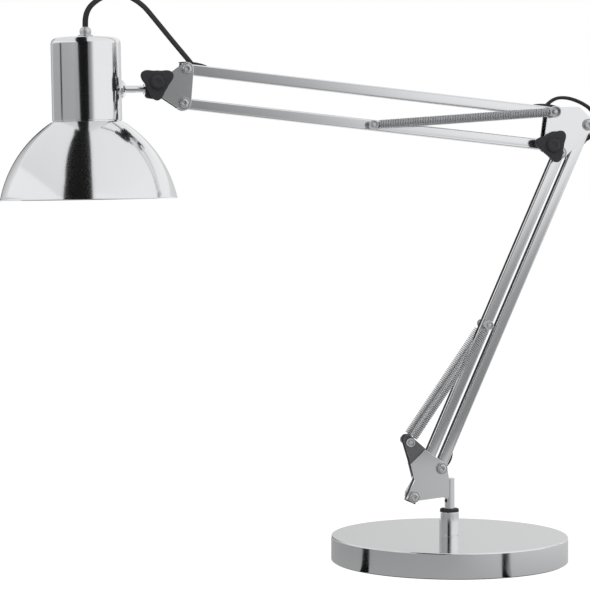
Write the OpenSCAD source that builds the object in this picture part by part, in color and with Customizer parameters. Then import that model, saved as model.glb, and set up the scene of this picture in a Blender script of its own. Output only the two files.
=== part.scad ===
// Balanced-arm desk lamp: two parallelogram arms of square tube, tension springs, bell head, round base.
// Millimetres. The arm plane is XZ, the head is toward -X and the front is toward -Y.
// The origin is the centre of the underside of the base.

/* [Base] */
// Diameter of the base
base_d = 220; // [200:1:240]
// Height of the base with its pad
base_h = 23.5; // [20:0.5:26]
// Radius of the rounded edges of the base
base_edge = 1.5; // [1.5:0.5:4]
// Diameter of the chrome ferrule on the base
ferrule_d = 18.2; // [16:0.2:20]
// Height of the ferrule's top above the table
ferrule_top = 45.5; // [40:0.5:50]
// Diameter of the spigot that turns in the ferrule
spigot_d = 10; // [9:0.5:12]

/* [Arms] */
// Width of the square tube
tube_w = 10; // [9:0.5:11]
// Wall of the square tube
tube_wall = 1; // [0.8:0.1:1.5]
// Length of a lower bar between its pivots
lower_len = 346.8; // [300:0.1:360]
// Lean of the lower arm above the horizontal
lower_lean = 66.5; // [64:0.5:80]
// Length of an upper bar between its pivots
upper_len = 342.5; // [300:0.1:360]
// Direction of the upper arm, measured anticlockwise from +X
upper_lean = 173.8; // [165:0.1:180]
// Thickness of the side plates
plate_t = 1.5; // [1.2:0.1:2]

/* [Springs] */
// Mean radius of the spring's coil
spring_r = 3.6; // [3:0.1:4]
// Diameter of the spring's wire
wire_d = 1.2; // [1:0.1:1.4]
// Curls of a lower spring
lower_curls = 14; // [10:1:16]
// Curls of an upper spring
upper_curls = 17; // [10:1:18]

/* [Head] */
// Diameter of the lamp housing
housing_d = 62.8; // [60:0.2:66]
// Height of the lamp housing
housing_h = 75.3; // [70:0.1:80]
// Radius of the shade's bell curve
bell_r = 108.6; // [104:0.2:114]
// Lean of the head away from upright
head_lean = 1; // [0:0.5:2]
// Wall of the housing and the shade
shell_t = 0.9; // [0.7:0.1:1.2]

/* [Cord] */
// Diameter of the flex
flex_d = 4.4; // [4:0.1:5]
// Turns of the stored lead in each of its two layers
coil_turns = 3.6667; // [3.6667:0.5:4.1667]
// Radius of the stored lead's outer turn
coil_r = 37.5; // [37:0.5:40]

/* [Hidden] */
$fn = 64;

chrome = [0.80, 0.81, 0.82];
steel = [0.55, 0.56, 0.57];
black = [0.10, 0.10, 0.11];
felt = [0.16, 0.16, 0.17];
iron = [0.30, 0.30, 0.31];
white = [0.92, 0.92, 0.90];

// Depths across the arm, from its middle plane
half_tube = tube_w / 2;
plate_in = 6.5;
plate_out = plate_in + plate_t;
washer_out = plate_out + 0.8;
fit = 0.05;
pin_r = 2.5;
open_r = pin_r + 0.3;
spring_pin_r = 2.15;
spring_hole_r = spring_pin_r + fit;
clamp_r = 2.95;
clamp_hole_r = clamp_r + 0.1;

// Pivots in the arm plane, as [x, z]
link_lower = [26, 26];
foot_left = [-35.4, 60.9];
foot_right = foot_left + link_lower;
lower_dir = [cos(lower_lean), sin(lower_lean)];
top_left = foot_left + lower_len * lower_dir;
top_right = foot_right + lower_len * lower_dir;
link_upper = [2.8, 30.9];
elbow_low = top_left + [-10.7, 6.7];
elbow_top = elbow_low + link_upper;
upper_dir = [cos(upper_lean), sin(upper_lean)];
wrist_low = elbow_low + upper_len * upper_dir;
wrist_top = elbow_top + upper_len * upper_dir;
tilt = wrist_top + [-28.1, -12.7];
rod_z = tilt[1] - 6.4;
head_x = tilt[0] - 61.8;

// Spring ends in the arm plane
anchor = [-40, 112];
lower_hole = 173;
upper_hole = 168.5;
lower_hook = foot_left + lower_hole * lower_dir;
upper_hook = elbow_low + upper_hole * upper_dir;
lower_spring_y = 12;
upper_spring_y = 12.5;
eye_r = 3.2;

// The stored lead lies behind the base: +Y of this frame, turned about Z
lead_turn = -13;
gland_turn = 15;
coil_centre = [10, 152];
coil_lift = 0.6;
lap = flex_d + 0.45;
coil_in = coil_r - coil_turns * lap;
gland_z = 10;
gland_tip = 137;

function unit(v) = v / norm(v);
function arc(c, r, a0, a1, n) =
    [for (i = [0:n]) let (a = a0 + (a1 - a0) * i / n) c + r * [cos(a), sin(a)]];
function turn_of(v) = atan2(v[1], v[0]);
function flat(lists) = [for (l = lists) for (p = l) p];

// Outline round corners given anticlockwise as [x, z, radius]
function edge_turn(a, b) =
    turn_of([b[0] - a[0], b[1] - a[1]]) - acos((a[2] - b[2]) / norm([b[0] - a[0], b[1] - a[1]]));
function corner(a, b, c) =
    let (t0 = edge_turn(a, b), sweep = (edge_turn(b, c) - t0 + 720) % 360)
    sweep > 180 || b[2] == 0 ? [[b[0], b[1]]] :
        arc([b[0], b[1]], b[2], t0, t0 + sweep, max(2, ceil(sweep / 12)));
function rounded(c) =
    let (n = len(c)) flat([for (i = [0:n - 1]) corner(c[(i + n - 1) % n], c[i], c[(i + 1) % n])]);

// A slab of the arm plane between two depths
module slab(y0, y1) {
    translate([0, y1, 0]) rotate([90, 0, 0]) linear_extrude(y1 - y0) children();
}

// A round bar through the arm plane at p
module across(p, r, y0, y1) {
    translate([p[0], y1, p[1]]) rotate([90, 0, 0]) cylinder(r = r, h = y1 - y0);
}

// Both depths of something drawn at the front
module both_sides() {
    children();
    mirror([0, 1, 0]) children();
}

// A revolved solid whose axis runs from p toward the front, -Y
module turned(p, y) {
    translate([p[0], -y, p[1]]) rotate([90, 0, 0]) rotate_extrude() children();
}

// ---- swept wires and cords ----

// Rings of a round tube along a path, carried along without twist
function tangent(p, i) =
    i == 0 ? unit(p[1] - p[0]) :
    i == len(p) - 1 ? unit(p[i] - p[i - 1]) : unit(unit(p[i + 1] - p[i]) + unit(p[i] - p[i - 1]));
function drop(v, t) = unit(v - (v * t) * t);
function frames(p, v, i = 0, out = []) =
    i == len(p) ? out :
    let (n = drop(i == 0 ? v : out[i - 1], tangent(p, i))) frames(p, v, i + 1, concat(out, [n]));
module tube(p, r, sides, v = [0, 0, 1]) {
    n = frames(p, v);
    points = [for (i = [0:len(p) - 1]) let (t = tangent(p, i), b = cross(t, n[i]))
        for (k = [0:sides - 1]) p[i] + r * (cos(360 * k / sides) * n[i] + sin(360 * k / sides) * b)];
    last = (len(p) - 1) * sides;
    sides_a = [for (i = [0:len(p) - 2]) for (k = [0:sides - 1])
        [i * sides + k, (i + 1) * sides + k, i * sides + (k + 1) % sides]];
    sides_b = [for (i = [0:len(p) - 2]) for (k = [0:sides - 1])
        [i * sides + (k + 1) % sides, (i + 1) * sides + k, (i + 1) * sides + (k + 1) % sides]];
    cap_a = [for (k = [1:sides - 2]) [0, k, k + 1]];
    cap_b = [for (k = [1:sides - 2]) [last, last + k + 1, last + k]];
    polyhedron(points, concat(sides_a, sides_b, cap_a, cap_b));
}

// Points of a smooth curve through hand-chosen points
function spline_at(p, i, t) =
    let (a = p[max(i - 1, 0)], b = p[i], c = p[i + 1], d = p[min(i + 2, len(p) - 1)])
    0.5 * (2 * b + (c - a) * t + (2 * a - 5 * b + 4 * c - d) * t * t
        + (3 * b - a - 3 * c + d) * t * t * t);
function spline(p, steps) =
    concat([for (i = [0:len(p) - 2]) for (s = [0:steps - 1]) spline_at(p, i, s / steps)], [p[len(p) - 1]]);

// Spring along +X from 0 to length: straight ends, curls of even pitch
curl_rings = 8;
function spring_path(length, curls, straight = 5) =
    let (start = straight + 2.4, run = length - 2 * start, n = curls * curl_rings)
    concat([[0, 0, 0], [straight, 0, 0]],
        [for (i = [0:n]) let (a = 360 * i / curl_rings)
            [start + run * i / n, spring_r * cos(a), spring_r * sin(a)]],
        [[length - straight, 0, 0], [length, 0, 0]]);

// Least distance between turns of a winding, between points that aren't neighbours
function least_gap(p, skip, d) =
    min([for (i = [0:len(p) - 1]) for (j = [i + skip:1:len(p) - 1]) norm(p[i] - p[j])]) - d;

module spring_between(a, b, y, curls) {
    v = b - a;
    length = norm(v) - 2 * eye_r;
    translate([a[0], y, a[1]]) rotate([0, -turn_of(v), 0]) translate([eye_r, 0, 0])
        tube(spring_path(length, curls), wire_d / 2, 6, [0, 1, 0]);
}

lower_path = spring_path(norm(lower_hook - anchor) - 2 * eye_r, lower_curls);
upper_path = spring_path(norm(upper_hook - elbow_top) - 2 * eye_r, upper_curls);
echo(lower_spring_gap = least_gap(lower_path, 5, wire_d));
echo(upper_spring_gap = least_gap(upper_path, 5, wire_d));

// ---- base ----

base_r = base_d / 2;
pad_show = 0.8;
module base_cover() color(chrome) difference() {
    rotate_extrude($fn = 180) polygon(concat(
        [[5.6, base_h], [5.6, base_h - 1]],
        arc([base_r - base_edge, base_h - base_edge], base_edge - 1, 90, 0, 8),
        [[base_r - 1, pad_show], [base_r, pad_show]],
        arc([base_r - base_edge, base_h - base_edge], base_edge, 0, 90, 10)));
    translate([0, 0, -1]) cylinder(r = 7.1, h = base_h + 2);
    rotate([0, 0, lead_turn + gland_turn]) translate([0, base_r - 8, gland_z]) rotate([-90, 0, 0])
        cylinder(r = 4.05, h = 12);
}

module base_weight() color(iron) difference() {
    rotate_extrude($fn = 120) polygon([[7.2, 1.6], [base_r - 3.5, 1.6], [base_r - 3.5, base_h - 5.5],
        [base_r - 6.5, base_h - 1.2], [7.2, base_h - 1.2]]);
    translate([0, 0, 1]) cylinder(r = 13, h = 11);
    rotate([0, 0, lead_turn + gland_turn]) translate([-4, 0, 1]) cube([8, base_r, 14]);
}

module base_pad() color(felt) cylinder(r = base_r - 1.6, h = 1.5, $fn = 120);

module ferrule() color(chrome) rotate_extrude() polygon([[3.6, 4.5], [6.9, 4.5], [6.9, base_h],
    [ferrule_d / 2, base_h], [ferrule_d / 2, ferrule_top], [6.55, ferrule_top], [6.55, ferrule_top - 6],
    [spigot_d / 2 + fit, ferrule_top - 6], [spigot_d / 2 + fit, 8], [3.6, 8]]);

module ferrule_bush() color(black) rotate_extrude() polygon([[spigot_d / 2 + fit, ferrule_top - 5.9],
    [6.5, ferrule_top - 5.9], [6.5, ferrule_top], [8.8, ferrule_top], [8.8, ferrule_top + 2.2],
    [8.2, ferrule_top + 2.9], [spigot_d / 2 + fit, ferrule_top + 2.9]]);

module ferrule_nut() color(steel) difference() {
    translate([0, 0, 5]) cylinder(r = 11, h = 6.5, $fn = 6);
    translate([0, 0, 4]) cylinder(r = 6.95, h = 9);
}

// Strain relief that the lead leaves the base through, with its tapered sleeve
module lead_gland() color(black) rotate([0, 0, lead_turn + gland_turn]) translate([0, base_r, gland_z])
    rotate([-90, 0, 0]) rotate_extrude() polygon([[2.3, -6], [4, -6], [4, 0.05], [6, 0.05], [6, 2.5],
        [4.6, 3], [3.1, gland_tip - base_r], [2.3, gland_tip - base_r]]);

// Route of the lead, chosen by hand, in the frame turned by lead_turn
lead_z = flex_d / 2;
run_points = [[-37.6, 141.4, 9.4], [-38.2, 147, 7.5], [-37.8, 153, 5.2],
    [-36.4, 159.4, 3.5], [-33.6, 165.6, 2.9], [-29, 171.6, 2.8], [-22.6, 176.6, 2.8]];
tail_points = [[47.8, 138, 7.1], [49, 134, 6.3], [51.2, 129.8, 5.9], [54.4, 125.6, 6.1]];

// Spiral of the stored lead: in on the first layer, out on the second
coil_from = 60;
coil_sweep = 360 * 2 * coil_turns;
coil_ring = 15;
function coil_point(a) =
    let (half = coil_sweep / 2, s = a < half ? a / half : (coil_sweep - a) / half,
        r = coil_r - (coil_r - coil_in) * s,
        climb = min(1, max(0, (a - half + 90) / 180)),
        z = lead_z + coil_lift + lap * (climb * climb * (3 - 2 * climb)))
    [coil_centre[0] - r * cos(coil_from + a), coil_centre[1] + r * sin(coil_from + a), z];
coil_spiral = [for (a = [0:coil_ring:coil_sweep]) coil_point(a)];
coil_in_dir = [sin(coil_from), cos(coil_from), 0];
coil_end = coil_from + coil_sweep;
coil_out_dir = [sin(coil_end), cos(coil_end), 0];
coil_path = concat([coil_spiral[0] - 1.2 * flex_d * coil_in_dir], coil_spiral,
    [coil_spiral[len(coil_spiral) - 1] + 1.2 * flex_d * coil_out_dir]);
echo(coil_gap = least_gap(coil_path, 8, flex_d));

gland_dir = [-sin(gland_turn), cos(gland_turn), 0];
gland_end = [0, 0, gland_z] + gland_tip * gland_dir;
plug_dir = unit([1.1, -1, 0]);
plug_entry = [61.5, 118.4, 6.9];
run_path = concat([gland_end, gland_end + flex_d * gland_dir], spline(run_points, 2),
    [coil_path[0] - flex_d * coil_in_dir, coil_path[0]]);
tail_path = concat([coil_path[len(coil_path) - 1], coil_path[len(coil_path) - 1] + flex_d * coil_out_dir],
    tail_points, [plug_entry - flex_d * plug_dir, plug_entry]);

module lead_run() color(black) rotate([0, 0, lead_turn]) tube(run_path, flex_d / 2, 8);
module lead_coil() color(black) rotate([0, 0, lead_turn]) tube(coil_path, flex_d / 2, 6);
module lead_tail() color(black) rotate([0, 0, lead_turn]) tube(tail_path, flex_d / 2, 8);

// Strap round the stored lead, on the side toward the base
module lead_tie() color(black) rotate([0, 0, lead_turn]) translate([coil_centre[0], coil_centre[1], 0])
    rotate([0, 0, -150]) difference() {
        inner = coil_in - lead_z - lap / 2 - 0.6;
        outer = coil_r + lead_z + 0.6;
        top = coil_lift + flex_d + lap + 0.3;
        translate([inner - 0.6, -2, 0]) cube([outer - inner + 1.2, 4, top + 0.6]);
        translate([inner, -3, 0.5]) cube([outer - inner, 6, top - 0.5]);
    }

// Flat two-pin plug, lying on the table
module at_plug() rotate([0, 0, lead_turn]) translate(plug_entry)
    rotate([0, 0, turn_of(plug_dir)]) children();
module plug_body() color(black) at_plug() difference() {
    union() {
        rotate([0, 90, 0]) cylinder(r1 = 3.2, r2 = 4.6, h = 12);
        translate([12, 0, -6.5]) linear_extrude(13)
            polygon(rounded([[1, -4.5, 1], [12, -9.5, 3], [24, -10, 2.5],
                [24, 10, 2.5], [12, 9.5, 3], [1, 4.5, 1]]));
    }
    translate([-1, 0, 0]) rotate([0, 90, 0]) cylinder(r = 2.3, h = 1.02);
}
module plug_pins() color(steel) at_plug() for (side = [-1, 1])
    translate([38.5, side * 6.5, 0]) rotate([0, 90, 0]) rotate_extrude()
        polygon(concat([[0, 0], [2, 0]], arc([0, 17], 2, 0, 90, 6)));

// ---- turret: spigot, saddle and lower plates ----

module spigot() color(chrome) difference() {
    translate([0, 0, 8]) cylinder(r = spigot_d / 2, h = 68.6);
    translate([0, 0, 7]) cylinder(r = 3.3, h = 64);
    translate([0, 0, 56]) rotate([0, 0, 215]) rotate([0, 90, 0]) cylinder(r = 1.6, h = 9);
}

module spigot_saddle() color(steel) difference() {
    slab(-plate_in, plate_in) polygon([[-19, 60], [-3, 60], [-3, 77.5], [-16, 77.5], [-19, 74]]);
    translate([0, 0, 50]) cylinder(r = spigot_d / 2, h = 40);
}

module bolt_holes(points) for (p = points) across(p, pin_r, -plate_out - 1, plate_out + 1);

lower_corners = [[foot_left[0] - 0.4, foot_left[1] + 0.9, 5.2], [-8, 59.8, 1], [-3.6, 60.2, 1.2],
    [-3.4, 78.6, 1], [foot_right[0], foot_right[1], 5.6], [-25.1, 103.3, 1], [-37, 91, 1.3],
    [-34.2, 74.8, 0]];
module lower_plate() color(chrome) difference() {
    slab(plate_in, plate_out) polygon(rounded(lower_corners));
    bolt_holes([foot_left, foot_right]);
}
module lower_plate_back() lower_plate();
module lower_plate_front() mirror([0, 1, 0]) lower_plate();

// Dark plates inside the chrome ones, welded to them, that carry the lower springs' pins
anchor_corners = [[-31.5, 76, 1], [-15, 88, 1], [-24.6, 104.2, 1], [-40.6, 113.9, 4.2],
    [-36.8, 90.2, 1]];
module spring_anchors() color(steel) both_sides() {
    difference() {
        slab(plate_in - 1.2, plate_in) polygon(rounded(anchor_corners));
        across(anchor, 1.8, 0, 20);
    }
    across(anchor, 1.8, plate_in - 1.2, plate_in);
    across(anchor, spring_pin_r, plate_in, 14);
    mirror([0, 1, 0]) turned(anchor, 14)
        polygon(concat([[0, 0], [3.8, 0]], arc([2.3, 0.2], 1.5, 0, 90, 5), [[0, 1.7]]));
}

// Pan-head bolt with washers and a nut at the back, with its axis through the arm plane
module bolt_and_nut(p) {
    across(p, pin_r - fit, -plate_out, plate_out);
    across(p, 5.6, -washer_out, -plate_out);
    turned(p, washer_out) polygon(concat([[0, 0], [4.4, 0]], arc([2.6, 0.4], 1.8, 0, 90, 5), [[0, 2.4]]));
    across(p, 5.6, plate_out, washer_out);
    translate([p[0], washer_out + 3.6, p[1]]) rotate([90, 0, 0]) cylinder(r = 4.6, h = 3.6, $fn = 6);
}
module spacers(p) both_sides() difference() {
    across(p, 4.6, half_tube, plate_in);
    across(p, pin_r, 0, plate_out);
}

module lower_pivot_bolts() color(steel) for (p = [foot_left, foot_right]) bolt_and_nut(p);
module lower_spacers() color(black) for (p = [foot_left, foot_right]) spacers(p);

module lower_spring_eyes() color(black) both_sides() difference() {
    across(anchor, eye_r, lower_spring_y - 1.5, lower_spring_y + 1.5);
    across(anchor, spring_hole_r, 0, 20);
}
module lower_spring_front() color(steel)
    spring_between(anchor, lower_hook, -lower_spring_y, lower_curls);
module lower_spring_back() color(steel)
    spring_between(anchor, lower_hook, lower_spring_y, lower_curls);

// ---- bars ----

// Square tube from pivot a to pivot b; round_b makes the end at b half round and solid
over = 5.2;
module bar(a, b, holes, slots = [], round_b = false) {
    length = norm(b - a);
    translate([a[0], 0, a[1]]) rotate([0, -turn_of(b - a), 0]) difference() {
        union() {
            translate([-over, -half_tube, -half_tube])
                cube([length + (round_b ? over : 2 * over), tube_w, tube_w]);
            if (round_b) across([length, 0], half_tube, -half_tube, half_tube);
        }
        translate([-6, -half_tube + tube_wall, -half_tube + tube_wall])
            cube([length + 6 + (round_b ? -8 : 10), tube_w - 2 * tube_wall, tube_w - 2 * tube_wall]);
        for (h = holes) translate([h[0], 10, 0]) rotate([90, 0, 0]) cylinder(r = h[1], h = 20);
        for (s = slots) translate([s[0], -2.4, -10]) cube([s[1], 4.8, 10]);
    }
}

// Black caps in the tube's ends
module end_plug(a, b, at_end) {
    length = norm(b - a);
    start = at_end ? length + over : -over - 1;
    translate([a[0], 0, a[1]]) rotate([0, -turn_of(b - a), 0]) {
        translate([start, -half_tube + 0.2, -half_tube + 0.2]) cube([1, tube_w - 0.4, tube_w - 0.4]);
        translate([at_end ? start - 1.8 : start + 1, -3.9, -3.9]) cube([1.8, 7.8, 7.8]);
    }
}

// Lens-shaped grommet on the outer face of a bar; the foot under it fills the bar's slot
module grommet(a, b, from, to) {
    length = to - from;
    rise = 2.4;
    curve = (length * length / 4 + rise * rise) / (2 * rise);
    sweep = asin(length / 2 / curve);
    translate([a[0], 0, a[1]]) rotate([0, -turn_of(b - a), 0]) mirror([0, 0, 1]) slab(-2.9, 2.9)
        polygon(arc([(from + to) / 2, half_tube + rise - curve], curve, 90 + sweep, 90 - sweep, 12));
}

// Slanted way of the flex through a grommet, from its end in the bar toward p
module flex_way(inner, p) {
    translate([inner[0], 0, inner[1]]) rotate([0, -turn_of(p - inner), 0]) rotate([0, 90, 0])
        cylinder(r = flex_d / 2 + 0.2, h = 40, center = true);
}

module bar_right() color(chrome) bar(foot_right, top_right, [[0, pin_r], [lower_len, pin_r]],
    [[3.6, 9], [lower_len - 18.5, 11]]);
module bar_left() color(chrome) bar(foot_left, top_left,
    [[0, pin_r], [lower_hole, spring_hole_r], [lower_len, open_r]], round_b = true);
module upper_bar_top() color(chrome) bar(elbow_top, wrist_top, [[0, pin_r], [upper_len, pin_r]],
    [[-1, 15], [upper_len - 11, 11.5]]);
module upper_bar_low() color(chrome) bar(wrist_low, elbow_low,
    [[0, open_r], [upper_len - upper_hole, spring_hole_r], [upper_len, clamp_hole_r]], round_b = true);

module bar_right_plugs() color(black) {
    end_plug(foot_right, top_right, false);
    end_plug(foot_right, top_right, true);
}
module bar_left_plug() color(black) end_plug(foot_left, top_left, false);
module upper_bar_top_plugs() color(black) {
    end_plug(elbow_top, wrist_top, false);
    end_plug(elbow_top, wrist_top, true);
}
module upper_bar_low_plug() color(black) end_plug(wrist_low, elbow_low, false);

module bar_right_grommets() color(black) {
    grommet(foot_right, top_right, 2.8, 17.6);
    difference() {
        grommet(foot_right, top_right, lower_len - 17, lower_len - 2.5);
        flex_way(elbow_flex_points[elbow_last], elbow_flex_points[elbow_last - 1]);
        flex_way(elbow_flex_points[elbow_last - 1], elbow_flex_points[elbow_last - 2]);
    }
}
module upper_bar_grommets() color(black) {
    difference() {
        grommet(elbow_top, wrist_top, -9, 16.5);
        flex_way(elbow_flex_points[0], elbow_flex_points[1]);
    }
    difference() {
        grommet(elbow_top, wrist_top, upper_len - 18.2, upper_len + 7.2);
        flex_way(head_flex_points[head_last], head_flex_points[head_last - 1]);
    }
}

// Pin through a bar with a collar on each side, a seat for each spring's eye and a head outside it
module spring_pin(p, y) {
    across(p, spring_pin_r, -y - 2, y + 2);
    both_sides() {
        across(p, 3.6, half_tube, y - 2);
        across(p, eye_r, y - 1.5, y + 1.5);
        mirror([0, 1, 0]) turned(p, y + 2)
            polygon(concat([[0, 0], [4.3, 0]], arc([2.9, 0.3], 1.4, 0, 90, 5), [[0, 1.7]]));
    }
}
module lower_spring_pin() color(steel) spring_pin(lower_hook, lower_spring_y);
module upper_spring_pin() color(steel) spring_pin(upper_hook, upper_spring_y);

module upper_spring_front() color(steel)
    spring_between(upper_hook, elbow_top, -upper_spring_y, upper_curls);
module upper_spring_back() color(steel)
    spring_between(upper_hook, elbow_top, upper_spring_y, upper_curls);

// ---- elbow ----

elbow_corners = [[elbow_low[0], elbow_low[1], 5.8], [top_left[0] - 1, top_left[1], 6.5],
    [top_right[0], top_right[1], 6.6], [119.6, 418.9, 2.5], [elbow_top[0], elbow_top[1], 4.6]];
module elbow_plate() color(chrome) difference() {
    slab(plate_in, plate_out) polygon(rounded(elbow_corners));
    bolt_holes([top_left, top_right, elbow_top]);
    across(elbow_low, clamp_hole_r, -20, 20);
}
module elbow_plate_back() elbow_plate();
module elbow_plate_front() mirror([0, 1, 0]) elbow_plate();

module elbow_pivot_bolts() color(steel) for (p = [top_left, top_right]) bolt_and_nut(p);
module elbow_spacers() color(black) {
    for (p = [top_left, top_right, elbow_top]) spacers(p);
    both_sides() difference() {
        across(elbow_low, 4.9, half_tube, plate_in);
        across(elbow_low, clamp_hole_r, 0, plate_out);
    }
}

// Through pin at the upper arm's pivot that the upper springs hook on, with domed caps
module elbow_spring_pin() color(steel) {
    across(elbow_top, pin_r - fit, -15, 15);
    both_sides() {
        across(elbow_top, 4.2, plate_out, 10.4);
        across(elbow_top, eye_r, upper_spring_y - 1.5, upper_spring_y + 1.5);
        mirror([0, 1, 0]) turned(elbow_top, 14.6)
            polygon(concat([[0, 0], [5.4, 0], [5.4, 0.8]], arc([1.4, 0.8], 4, 0, 90, 6), [[0, 4.8]]));
    }
}

// Clamp bolt with a domed head at the back, its thread in the knob
module clamp_bolt(p) {
    across(p, clamp_r, -19.5, plate_out);
    mirror([0, 1, 0]) turned(p, plate_out)
        polygon(concat([[0, 0], [6.4, 0]], arc([4.2, 0.4], 2.2, 0, 90, 6), [[0, 2.6]]));
}
module elbow_bolt() color(steel) clamp_bolt(elbow_low);
module head_bolt() color(steel) clamp_bolt(tilt);

// Three-lobed clamp knob; turn is the direction of its first lobe
knob_back = 8.7;
knob_lobe_back = 12.4;
knob_lobe_front = 21;
function knob_r(a) = 10.5 + 5.9 * pow((1 + cos(3 * a)) / 2, 1.8);
module knob(p, turn) color(black) difference() {
    union() {
        across(p, 6, -knob_lobe_back, -knob_back);
        translate([p[0], -knob_lobe_back, p[1]]) rotate([90, 0, 0])
            linear_extrude(knob_lobe_front - knob_lobe_back)
                polygon([for (i = [0:71]) knob_r(i * 5 - turn) * [cos(i * 5), sin(i * 5)]]);
        turned(p, knob_lobe_front)
            polygon(concat([[0, 0], [6.5, 0]], arc([3.7, 0.4], 2.8, 0, 90, 6), [[0, 3.2]]));
    }
    across(p, clamp_r + fit, -19.6, 0);
}
module elbow_knob() knob(elbow_low, 49);
module head_knob() knob(tilt, 30);

// ---- free loops of flex, routes chosen by hand in the arm plane as [x, z] ----

function in_plane(p) = [for (q = p) [q[0], 0, q[1]]];
elbow_flex_points = [[86.6, 418.8], [90.2, 422.2], [94.2, 425.8], [98.2, 428.4], [102.4, 429.8],
    [107.2, 430.1], [112.7, 429.5], [118.2, 428], [123.6, 425.8], [128.3, 423.3], [132.6, 420.2],
    [137, 414.8], [139.4, 408.4], [139, 401.6], [135.8, 396], [131.2, 392.3], [127.2, 390.4]];
elbow_last = len(elbow_flex_points) - 1;
head_flex_points = [[-336.3, 488.5], [-336.4, 493], [-336.2, 498], [-335, 503.4], [-332.2, 508.6],
    [-328, 512.8], [-322.4, 516.6], [-315, 519.4], [-307, 520.4], [-299, 519], [-291.2, 515.2],
    [-285.6, 511.2], [-280.8, 506.6], [-270.4, 494.2], [-257.5, 478.6], [-245.6, 464.6], [-242, 460.2],
    [-239.4, 456.8]];
head_last = len(head_flex_points) - 1;
module elbow_flex() color(black) tube(in_plane(elbow_flex_points), flex_d / 2, 8, [0, 1, 0]);
module head_flex() color(black) tube(in_plane(head_flex_points), flex_d / 2, 8, [0, 1, 0]);

// ---- head bracket and head ----

head_corners = [[wrist_low[0], wrist_low[1], 6.6], [wrist_top[0], wrist_top[1], 6.2],
    [tilt[0] + 4, tilt[1] + 2, 7.2], [tilt[0], tilt[1], 8]];
module head_plate() color(chrome) difference() {
    slab(plate_in, plate_out) polygon(rounded(head_corners));
    bolt_holes([wrist_low, wrist_top]);
    across(tilt, clamp_hole_r, -20, 20);
}
module head_plate_back() head_plate();
module head_plate_front() mirror([0, 1, 0]) head_plate();
module head_pivot_bolts() color(steel) for (p = [wrist_low, wrist_top]) bolt_and_nut(p);
module head_spacers() color(black) for (p = [wrist_low, wrist_top]) spacers(p);

// Everything from here on leans with the head: its frame is upright on the rod's axis
module on_head() translate([head_x, 0, rod_z]) rotate([0, -head_lean, 0]) children();
rod_r = 3.4;
rod_end = 51.2;
collar_x = 28.8;
knuckle_face = head_x + rod_end + 1.6;
module knuckle() color(black) difference() {
    slab(-plate_in + 0.1, plate_in - 0.1) polygon(rounded([[tilt[0], tilt[1], 7],
        [knuckle_face + 1.5, tilt[1] - 0.5, 1.5], [knuckle_face + 3, tilt[1] - 10.6, 3],
        [tilt[0] + 1.5, tilt[1] - 12.6, 2]]));
    across(tilt, clamp_hole_r, -20, 20);
    on_head() translate([rod_end - 2, 0, 0]) rotate([0, 90, 0]) cylinder(r = rod_r + fit, h = 7.5);
}
module head_rod() color(chrome) on_head() {
    translate([collar_x - 2.6, 0, 0]) rotate([0, 90, 0])
        cylinder(r = rod_r, h = rod_end + 7.8 - collar_x);
    translate([rod_end, 0, 0]) rotate([0, 90, 0]) cylinder(r = 4.7, h = 1.3);
}

hr = housing_d / 2;
seam = -28.9;
top = seam + housing_h;
crown = 5.5;
module rod_collar() color(chrome) on_head() difference() {
    rotate([0, 90, 0]) rotate_extrude()
        polygon([[rod_r + 0.02, collar_x - 1], [8.5, collar_x - 1], [8.5, collar_x + 3.4],
            [7.6, collar_x + 4.6], [4.8, collar_x + 6.2], [rod_r + 0.02, collar_x + 6.2]]);
    translate([0, 0, -20]) cylinder(r = hr, h = 40, $fn = 120);
}
module housing() color(chrome) on_head() difference() {
    rotate_extrude($fn = 120) polygon(concat([[4.2, top], [4.2, top - shell_t]],
        arc([hr - crown, top - crown], crown - shell_t, 90, 0, 8), [[hr - shell_t, seam], [hr, seam]],
        arc([hr - crown, top - crown], crown, 0, 90, 10)));
    translate([hr - 4, 0, 0]) rotate([0, 90, 0]) cylinder(r = rod_r + 0.02, h = 8);
}

// The bell is an arc in section; its neck goes up inside the housing
bell_centre = [-26.6, -120.2];
bell_top = 57.2;
bell_rim = 11.7;
module shade() color(chrome) on_head() rotate_extrude($fn = 160) polygon(concat(
    [[hr - shell_t - 1.1, seam + 9], [hr - shell_t - 1.1, seam]],
    arc(bell_centre, bell_r - shell_t, bell_top, bell_rim, 20),
    arc(bell_centre, bell_r, bell_rim, bell_top, 20),
    [[hr - shell_t - 0.15, seam], [hr - shell_t - 0.15, seam + 9]]));

module lampholder() color(black) on_head() rotate_extrude() polygon([[4.3, top - 1 - shell_t],
    [14, top - 1 - shell_t], [14, top - 8], [20, top - 14], [20, top - 46], [14.4, top - 46],
    [14.4, top - 20], [4.3, top - 16]]);

// Hollow stud through the housing's top with a flange, a domed nut and the flex's hole
module head_gland() color(black) on_head() rotate_extrude() polygon(concat([[2.3, top - 6], [4.15, top - 6],
    [4.15, top], [6.7, top], [6.7, top + 2.4], [6.2, top + 2.9], [4.8, top + 2.9], [5.3, top + 4.4],
    [5.3, top + 5.6]], arc([1.1, top + 6], 4.2, 0, 55, 6), [[2.3, top + 9.9]]));

module bulb() color(white) on_head() {
    translate([0, 0, top - 45]) rotate_extrude()
        polygon(concat([[0, 25], [9, 24], [13.2, 21], [13.2, 0], [12, -2]],
            arc([0, -30], 22.5, 52, -90, 24)));
}

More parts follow.
